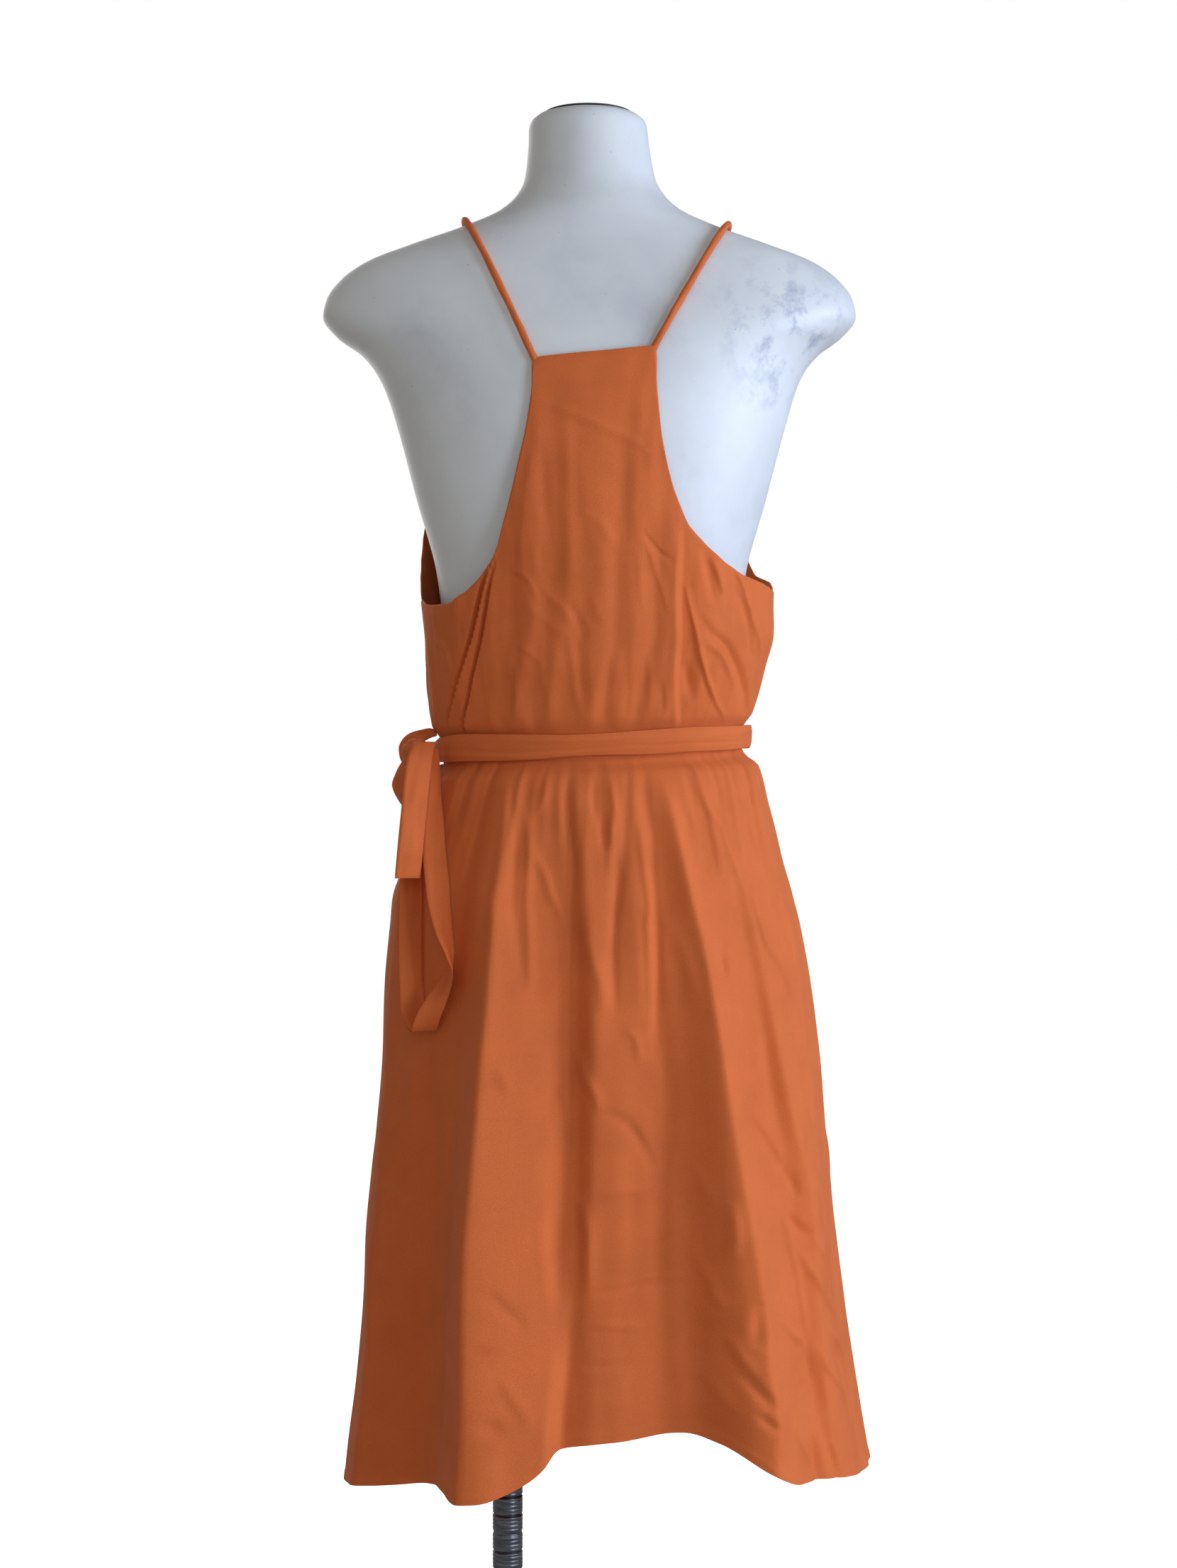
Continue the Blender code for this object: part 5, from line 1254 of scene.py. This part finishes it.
# %% Sash band
SASH_THICKNESS = 0.0016
SASH_LIFT, SASH_FRONT_LIFT = 0.0058, 0.0054
BandEdge = namedtuple("BandEdge", "angle top bottom")
BAND_EDGES = table(BandEdge, (
    (0, 1.0325, 1.0175), (8, 1.0330, 1.0172), (20, 1.0362, 1.0170), (40, 1.0382, 1.0176),
    (56, 1.0378, 1.0178), (70, 1.0375, 1.0187), (80, 1.0370, 1.0206), (95, 1.0385, 1.0222),
    (107, 1.0405, 1.0225), (126, 1.0432, 1.0248), (150, 1.0448, 1.0268), (172, 1.0463, 1.0287),
    (190, 1.0466, 1.0286), (225, 1.0470, 1.0284), (270, 1.0448, 1.0262), (330, 1.0362, 1.0182),
    (360, 1.0325, 1.0175),
))
BAND_CREASES = (            # angle, place across from -1 to 1, and how far each stands out
    Crease(-0.00055, 0.16, ((4, 0.1), (26, -0.1), (52, -0.35), (78, -0.45), (96, -0.2))),
    Crease(0.00045, 0.18, ((2, -0.4), (30, -0.55), (62, -0.75), (88, -0.7))),
    Crease(0.00040, 0.20, ((20, 0.5), (48, 0.6), (90, 0.45), (118, 0.6))),
    Crease(-0.00045, 0.14, ((95, -0.1), (122, -0.3), (150, -0.35), (180, -0.2))),
    Crease(0.00040, 0.20, ((118, 0.1), (146, 0.3), (176, 0.5), (196, 0.4))),
    Crease(-0.00050, 0.15, ((190, 0.1), (214, -0.2), (246, -0.3))),
    Crease(-0.00045, 0.15, ((235, 0.5), (262, 0.3), (296, 0.2), (318, -0.1))),
    Crease(0.00045, 0.20, ((300, -0.4), (326, -0.3), (352, 0.0))),
    Crease(-0.00060, 0.15, ((330, 0.4), (346, 0.1), (362, 0.1))),
)
BAND_REACH = 1.00003        # so that the creases on the band are told in radians round it
BAND_WRINKLES = table(Wrinkle, ((0.0006, 30.0, 0.9, 4.4),))
BAND_CROWN = 0.0014         # the crushed tube stands out most in its middle
BAND_GRAIN = 0.12
FRONT_SHIFT, FRONT_STEEP = 0.15, 2.2    # where round the side the front's larger lift sets in


def band_place(u, v):
    angle = u * 360
    across = 2 * v - 1
    top, bottom = (read(BAND_EDGES, "angle", name, angle) for name in ("top", "bottom"))
    z = bottom + (top - bottom) * v
    point, out = at_level(BODICE_SECTIONS, angle, np.maximum(z, waist_z(angle)))
    point[..., 2] = z
    towards_front = ramp(FRONT_SHIFT - FRONT_STEEP * sine_of(angle))
    rise = SASH_LIFT + SASH_FRONT_LIFT * towards_front + BAND_CROWN * (1 - np.abs(across) ** 2.6)
    rise = rise + crease_rise(BAND_CREASES, angle, across, BAND_REACH)
    rise = rise + wrinkles(BAND_WRINKLES, angle, across)
    return point + out * rise[..., None], grain_of(angle, z, BAND_GRAIN)


band = finish_cloth(grid_piece("sash_band_cloth", 420, 24, band_place), crepe, thickness=SASH_THICKNESS,
                    close=True)
print("sash band:", len(band.data.polygons), "faces")

# %% [markdown]
# The bow is limp. Its long loop hangs down one strand, turns over, and comes up again behind. A curve
# with a flat profile would twist by itself where it turns over, so each ribbon is told by stops along
# its middle line: a place, its width there, and the way its face looks, in degrees from the back
# towards the wearer's left. Turning the face past 90 twists the ribbon, and a tilt lifts the edge that
# is farther from the middle of the body.

# %% Ribbons
Stop = namedtuple("Stop", "x y z width face tilt", defaults=(0.0,))
Numbered = namedtuple("Numbered", ("number",) + Stop._fields)
RIBBON_COLUMNS = 32
RIBBON_HALF = 0.0105        # half the ribbon's width on the grain
EDGE_IN = 0.06              # the rounded edges stand in by this share
FLATNESS = 7                # the higher, the later the wall rounds off towards the edges
CLOSE_OVER = 1.5            # steps in which an end closes
RIBBON_UNEVEN = (0.0009, 0.625, 1 / 34)     # metres high, half widths across, metres along


def ribbon_piece(name, stops, steps, cup, seed):
    """A flat closed tube along its stops, cupped a little across; also its length."""
    rows = [Numbered(i, *stop) for i, stop in enumerate(table(Stop, stops))]
    number = np.linspace(0, len(rows) - 1, steps + 1)
    x, y, z, width, face, tilt = (read(rows, "number", field, number) for field in Stop._fields)
    middle = np.stack([x, y, z], -1)
    for _ in range(2):
        middle[1:-1] = (middle[:-2] + 2 * middle[1:-1] + middle[2:]) / 4
    face, tilt = np.radians(face), np.radians(tilt)
    sideways = np.stack([np.cos(face) * np.cos(tilt), -np.sin(face) * np.cos(tilt), np.sin(tilt)], -1)
    normal = np.cross(sideways, np.gradient(middle, axis=0))
    normal /= np.linalg.norm(normal, axis=1, keepdims=True)
    length = along(middle)
    limp = table(Wrinkle, ((*RIBBON_UNEVEN, seed),))

    def place(u, v):
        i = np.rint(v * steps).astype(int)
        side = 1 - np.abs(4 * u - 2)
        side = side * (1 - EDGE_IN * np.abs(side))
        wall = SASH_THICKNESS / 2 * (1 - np.abs(side) ** FLATNESS) ** 0.5 * np.where(u < 0.5, 1, -1)
        wall = wall * np.clip(np.minimum(i, steps - i) / CLOSE_OVER, 0, 1)
        out = wall + cup * (1 - side ** 2) + wrinkles(limp, side, length[i])
        at = middle[i] + sideways[i] * (side * width[i] / 2)[..., None] + normal[i] * out[..., None]
        return at, np.stack([side * RIBBON_HALF, length[i]], -1)
    ribbon = finish_cloth(grid_piece(name, RIBBON_COLUMNS, steps, place), crepe, close=True)
    return ribbon, float(length[-1])


# %% The bow's four ribbons
TAIL_STOPS = (
    (0.1293, 0.0525, 1.0316, 0.0190, -16, -4), (0.1318, 0.0625, 1.0180, 0.0212, -20),
    (0.1340, 0.0730, 0.9920, 0.0215, -22), (0.1360, 0.0890, 0.9600, 0.0215, -23),
    (0.1384, 0.0950, 0.9290, 0.0215, -24),
)
LOOP_STOPS = (
    (0.1212, 0.0415, 1.0270, 0.011, -62), (0.1207, 0.0535, 0.9980, 0.0165, -54),
    (0.1200, 0.0740, 0.9599, 0.0205, -36), (0.1168, 0.0890, 0.9295, 0.0208, -31),
    (0.1138, 0.0972, 0.9059, 0.0200, -36), (0.1096, 0.1022, 0.8875, 0.019, -52),
    (0.1056, 0.1062, 0.8728, 0.019, -74), (0.1052, 0.1066, 0.8639, 0.019, -95),
    (0.1090, 0.1058, 0.8518, 0.019, -125), (0.1159, 0.1042, 0.8385, 0.0195, -154),
    (0.1228, 0.1010, 0.8242, 0.020, -174), (0.1252, 0.0975, 0.8168, 0.020, -186),
    (0.1263, 0.0935, 0.8138, 0.020, -190), (0.1295, 0.0890, 0.8165, 0.020, -190),
    (0.1341, 0.0855, 0.8263, 0.020, -190), (0.1358, 0.0835, 0.8422, 0.0195, -192),
    (0.1367, 0.0808, 0.8741, 0.0195, -194), (0.1370, 0.0735, 0.9166, 0.0195, -196),
    (0.1372, 0.0525, 0.9596, 0.0195, -200), (0.1354, 0.0350, 0.9978, 0.018, -202),
    (0.1336, 0.0290, 1.0144, 0.014, -202),
)
SMALL_STOPS = (
    (0.1380, 0.0260, 1.0230, 0.013, 70, 30), (0.1440, 0.0240, 1.0150, 0.017, 68, 38),
    (0.1487, 0.0210, 1.0040, 0.019, 52, 42), (0.1520, 0.0170, 0.9945, 0.019, 50, 42),
    (0.1500, 0.0130, 0.9880, 0.020, 52, 40), (0.1465, 0.0120, 0.9830, 0.020, 56, 38),
    (0.1436, 0.0140, 0.9850, 0.019, 66, 36), (0.1402, 0.0170, 0.9960, 0.016, 66, 30),
    (0.1390, 0.0190, 1.0100, 0.012, 66, 20),
)
TOP_STOPS = (
    (0.1218, 0.0120, 1.0400, 0.009, 75, 30), (0.1255, 0.0130, 1.0400, 0.012, 75, 35),
    (0.1310, 0.0150, 1.0384, 0.014, 72, 38), (0.1385, 0.0180, 1.0362, 0.015, 66, 36),
    (0.1440, 0.0210, 1.0318, 0.016, 60, 30), (0.1462, 0.0240, 1.0265, 0.016, 55, 20),
    (0.1450, 0.0260, 1.0190, 0.014, 50, 10), (0.1410, 0.0270, 1.0140, 0.010, 45, 0),
)
tail, tail_length = ribbon_piece("sash_end_cloth", TAIL_STOPS, 90, cup=0.0012, seed=2.2)
loop, loop_length = ribbon_piece("sash_loop_cloth", LOOP_STOPS, 320, cup=0.0008, seed=6.1)
small_loop, small_length = ribbon_piece("sash_small_loop_cloth", SMALL_STOPS, 110, cup=0.0006, seed=3.7)
top_strand, top_length = ribbon_piece("sash_top_strand_cloth", TOP_STOPS, 60, cup=0.0008, seed=9.3)
print("ribbons:", [round(length, 3) for length in (tail_length, loop_length, small_length, top_length)])

# %% [markdown]
# The knot is a ball, a little squarer than round. Shallow folds run round it, as if one strand had
# been drawn over the others.

# %% Sash knot

KNOT_CENTRE = np.array((0.1365, 0.0250, 1.0270))
KNOT_SIZE = np.array((0.0200, 0.0240, 0.0170))
KNOT_SQUARE = 0.86          # under 1, it is squarer than a ball
KNOT_GRAIN = (0.06, 0.03)


def knot_place(u, v):
    turn, up = u * 2 * np.pi, (v - 0.5) * np.pi
    away = np.stack([np.cos(up) * np.cos(turn), np.cos(up) * np.sin(turn), np.sin(up)], -1)
    squarer = np.sign(away) * np.abs(away) ** KNOT_SQUARE
    folds = 0.06 * np.sin(7 * up + 2.2 * np.sin(turn)) * np.cos(up) + 0.04 * np.sin(3 * turn + 4 * up)
    at = KNOT_CENTRE + squarer * KNOT_SIZE / 2 * (1 + folds)[..., None]
    return at, np.stack([u, v], -1) * KNOT_GRAIN


knot = finish_cloth(grid_piece("sash_knot_cloth", 72, 48, knot_place), crepe, close=True)
for piece, node in ((band, "sash_band"), (tail, "sash_end"), (loop, "sash_loop"),
                    (small_loop, "sash_small_loop"), (top_strand, "sash_top_strand"), (knot, "sash_knot")):
    put_on(piece, node)


# %% [markdown]
# ## The stand
# The cap on the neck, the post and the base are turned metal. The cap, the base, the socket and the
# collar each start as a cylinder of their own size, and their edges are broken with a small bevel, because
# light catches a broken edge.
# The socket and the collar each have a narrower neck, which is inset and extruded from the flat face.

# %% Turned parts
POLE_X = 0.066
BROKEN_EDGE = 0.0005
CUP_RADIUS, NECK_INSET = 0.030, 0.0105
FLAT, SMALLEST_FLAT = 0.99, 0.0005      # the face's normal, and its area in square metres


def turned_piece(name, radius, low, high, centre, bevel=BROKEN_EDGE, sides=96):
    bpy.ops.object.select_all(action="DESELECT")
    bpy.ops.mesh.primitive_cylinder_add(vertices=sides, radius=radius, depth=high - low,
                                        location=(*centre, (low + high) / 2))
    piece = bpy.context.object
    piece.name = piece.data.name = name
    bpy.ops.object.transform_apply(location=True, rotation=True, scale=True)
    edges = piece.modifiers.new("edges", "BEVEL")
    edges.width = bevel
    edges.segments = 3
    edges.limit_method = "ANGLE"
    edges.angle_limit = math.radians(40)
    bpy.ops.object.modifier_apply(modifier=edges.name)
    bpy.ops.object.shade_smooth_by_angle(angle=math.radians(35))
    piece.data.materials.append(black_steel)
    return piece


def draw_neck(piece, facing, length):
    """Draws a narrower neck out of the flat face that looks up (1) or down (-1)."""
    only(piece)
    bpy.ops.object.mode_set(mode="EDIT")
    bpy.ops.mesh.select_mode(type="FACE")
    bpy.ops.mesh.select_all(action="DESELECT")
    shape = bmesh.from_edit_mesh(piece.data)
    for face in shape.faces:
        if face.normal.z * facing > FLAT and face.calc_area() > SMALLEST_FLAT:
            face.select_set(True)
    shape.select_flush(True)
    bmesh.update_edit_mesh(piece.data)
    bpy.ops.mesh.inset(thickness=NECK_INSET)
    bpy.ops.mesh.extrude_region_move(TRANSFORM_OT_translate={"value": (0, 0, facing * length)})
    bpy.ops.object.mode_set(mode="OBJECT")


top = FORM_SECTIONS[-1]
plate = turned_piece("neck_cap", 0.0355, NECK_TOP_Z + 0.0003, NECK_TOP_Z + 0.0025,
                     (top.shift_x, top.shift_y))
base = turned_piece("base_disc", 0.185, 0.0, 0.010, (0.0, 0.0), bevel=0.003, sides=160)
socket = turned_piece("pole_socket_cup", CUP_RADIUS, 0.0103, 0.0128, (POLE_X, 0.0))
draw_neck(socket, 1, 0.0215)
collar = turned_piece("pole_collar_cup", CUP_RADIUS, 0.7942, 0.7997, (POLE_X, 0.0))
draw_neck(collar, -1, 0.0245)
print("turned parts:", plate.name, base.name, socket.name, collar.name)

# %% [markdown]
# The post is a tube with twelve deeper rings, and fine turned grooves between them. Insets could cut
# the rings one by one, but a closed grid like the form's takes all of them from one formula, down to
# grooves that are finer than a bevel.

# %% Post
POLE_RADIUS = 0.0118
POLE_LOW, POLE_HIGH = 0.0346, 0.7694
POLE_GRAIN = 0.074          # its girth
POLE_END = 0.01             # this share of the grid, at each end, closes the post
RING_PITCH, RING_COUNT, LOWEST_RING_Z = 0.0145, 12, 0.352
RING_DEPTH, RING_HALF = 0.0010, 0.0014
GROOVE_DEPTH, GROOVE_PITCH = 0.00014, 0.0031
GROOVED_FROM, GROOVED_TO, GROOVED_FADE = 0.33, 0.53, 0.02


def bell(distance):
    """1 in the middle, and 0 from a distance of 1."""
    return np.where(np.abs(distance) < 1, 0.5 + 0.5 * np.cos(np.pi * np.clip(distance, -1, 1)), 0.0)


def pole_place(u, v):
    turn = u * 2 * np.pi
    z = POLE_LOW + (POLE_HIGH - POLE_LOW) * np.clip((v - POLE_END) / (1 - 2 * POLE_END), 0, 1)
    radius = POLE_RADIUS * np.clip(np.minimum(v, 1 - v) / POLE_END, 0, 1)
    for ring in range(RING_COUNT):
        radius = radius - RING_DEPTH * bell((z - LOWEST_RING_Z - RING_PITCH * ring) / RING_HALF)
    grooved = ramp((z - GROOVED_FROM) / GROOVED_FADE) * (1 - ramp((z - GROOVED_TO) / GROOVED_FADE))
    grooved = grooved * (v > POLE_END) * (v < 1 - POLE_END)
    radius = radius + GROOVE_DEPTH * np.sin(z * WHOLE_TURN / GROOVE_PITCH) * grooved
    at = np.stack([POLE_X + radius * np.cos(turn), radius * np.sin(turn), z], -1)
    return at, np.stack([u * POLE_GRAIN, z], -1)


pole = finish_cloth(grid_piece("post_tube", 48, 1400, pole_place), ringed_steel, close=True)
for piece, node in ((plate, "neck_plate"), (base, "base_plate"), (socket, "pole_socket"),
                    (collar, "pole_collar")):
    put_on(piece, node)
put_on(pole, "pole")

# %% [markdown]
# ## The skirt's cut cloth
# The cloth that the skirt's three panels were cut from, before they were sewn and hung, is worked out and
# printed.

print("the skirt's cloth:", round((0.66 * 0.56 + 0.50 * 0.56 + 0.52 * 0.58) * 0.80, 2), "square metres")

# %% [markdown]
# ## Floor and light
# The photo has a white studio ground. A cool lamp far to the right, much like a window, gives the folds
# their bright sides. A weaker one, nearer the camera, lights the ribbons, a third fills the back from
# above, and the last one is for the front, which the photo doesn't show.

# %% Floor
bpy.ops.object.select_all(action="DESELECT")
bpy.ops.mesh.primitive_plane_add(size=30, location=(0, 0, -0.0005))
floor = bpy.context.object
floor.name = "studio_floor"
floor_finish, _, floor_shader = new_material("pale_floor", (0.86, 0.86, 0.86), 0.8)
set_node(floor_shader, Emission_Color=(1, 1, 1, 1), Emission_Strength=0.85)
floor.data.materials.append(floor_finish)
floor.visible_diffuse = False   # the floor looks white without lighting the dress from below
floor.visible_glossy = False
print("floor:", floor.name)

# %% Light
world = bpy.data.worlds.new("studio")
bpy.context.scene.world = world
world.use_nodes = True
nodes, links = world.node_tree.nodes, world.node_tree.links
seen = nodes["Background"]
set_node(seen, Color=(1.0, 1.0, 1.0, 1), Strength=1.0)
lit = add_node(nodes, "ShaderNodeBackground", Color=(1.0, 0.98, 0.96, 1), Strength=0.28)
which = add_node(nodes, "ShaderNodeLightPath")
mixed = add_node(nodes, "ShaderNodeMixShader", Fac=which.outputs["Is Camera Ray"])
links.new(lit.outputs["Background"], mixed.inputs[1])
links.new(seen.outputs["Background"], mixed.inputs[2])
links.new(mixed.outputs["Shader"], nodes["World Output"].inputs["Surface"])

Lamp = namedtuple("Lamp", "name place size power colour")
WAIST_PLACE = Vector((0, 0, 1.0))       # all lamps look here
LAMPS = table(Lamp, (
    ("key", (-2.44, 0.75, 1.5), (0.8, 1.4), 52, (0.61, 0.75, 1.0)),
    ("window", (-1.74, 1.93, 1.1), (0.8, 1.4), 23, (0.66, 0.79, 1.0)),
    ("back", (0.3, 2.5, 1.8), (1.4, 1.4), 7, (0.90, 1.0, 1.0)),
    ("front", (0.8, -2.4, 1.8), (1.8, 1.8), 22, (1.0, 0.98, 0.96)),
))
for row in LAMPS:
    data = bpy.data.lights.new(row.name, "AREA")
    data.shape = "RECTANGLE"
    data.size, data.size_y = row.size
    data.energy = row.power
    data.color = row.colour
    lamp = bpy.data.objects.new(row.name, data)
    lamp.location = row.place
    lamp.rotation_euler = (WAIST_PLACE - Vector(row.place)).to_track_quat("-Z", "Y").to_euler()
    bpy.context.scene.collection.objects.link(lamp)
print("lamps:", [row.name for row in LAMPS])
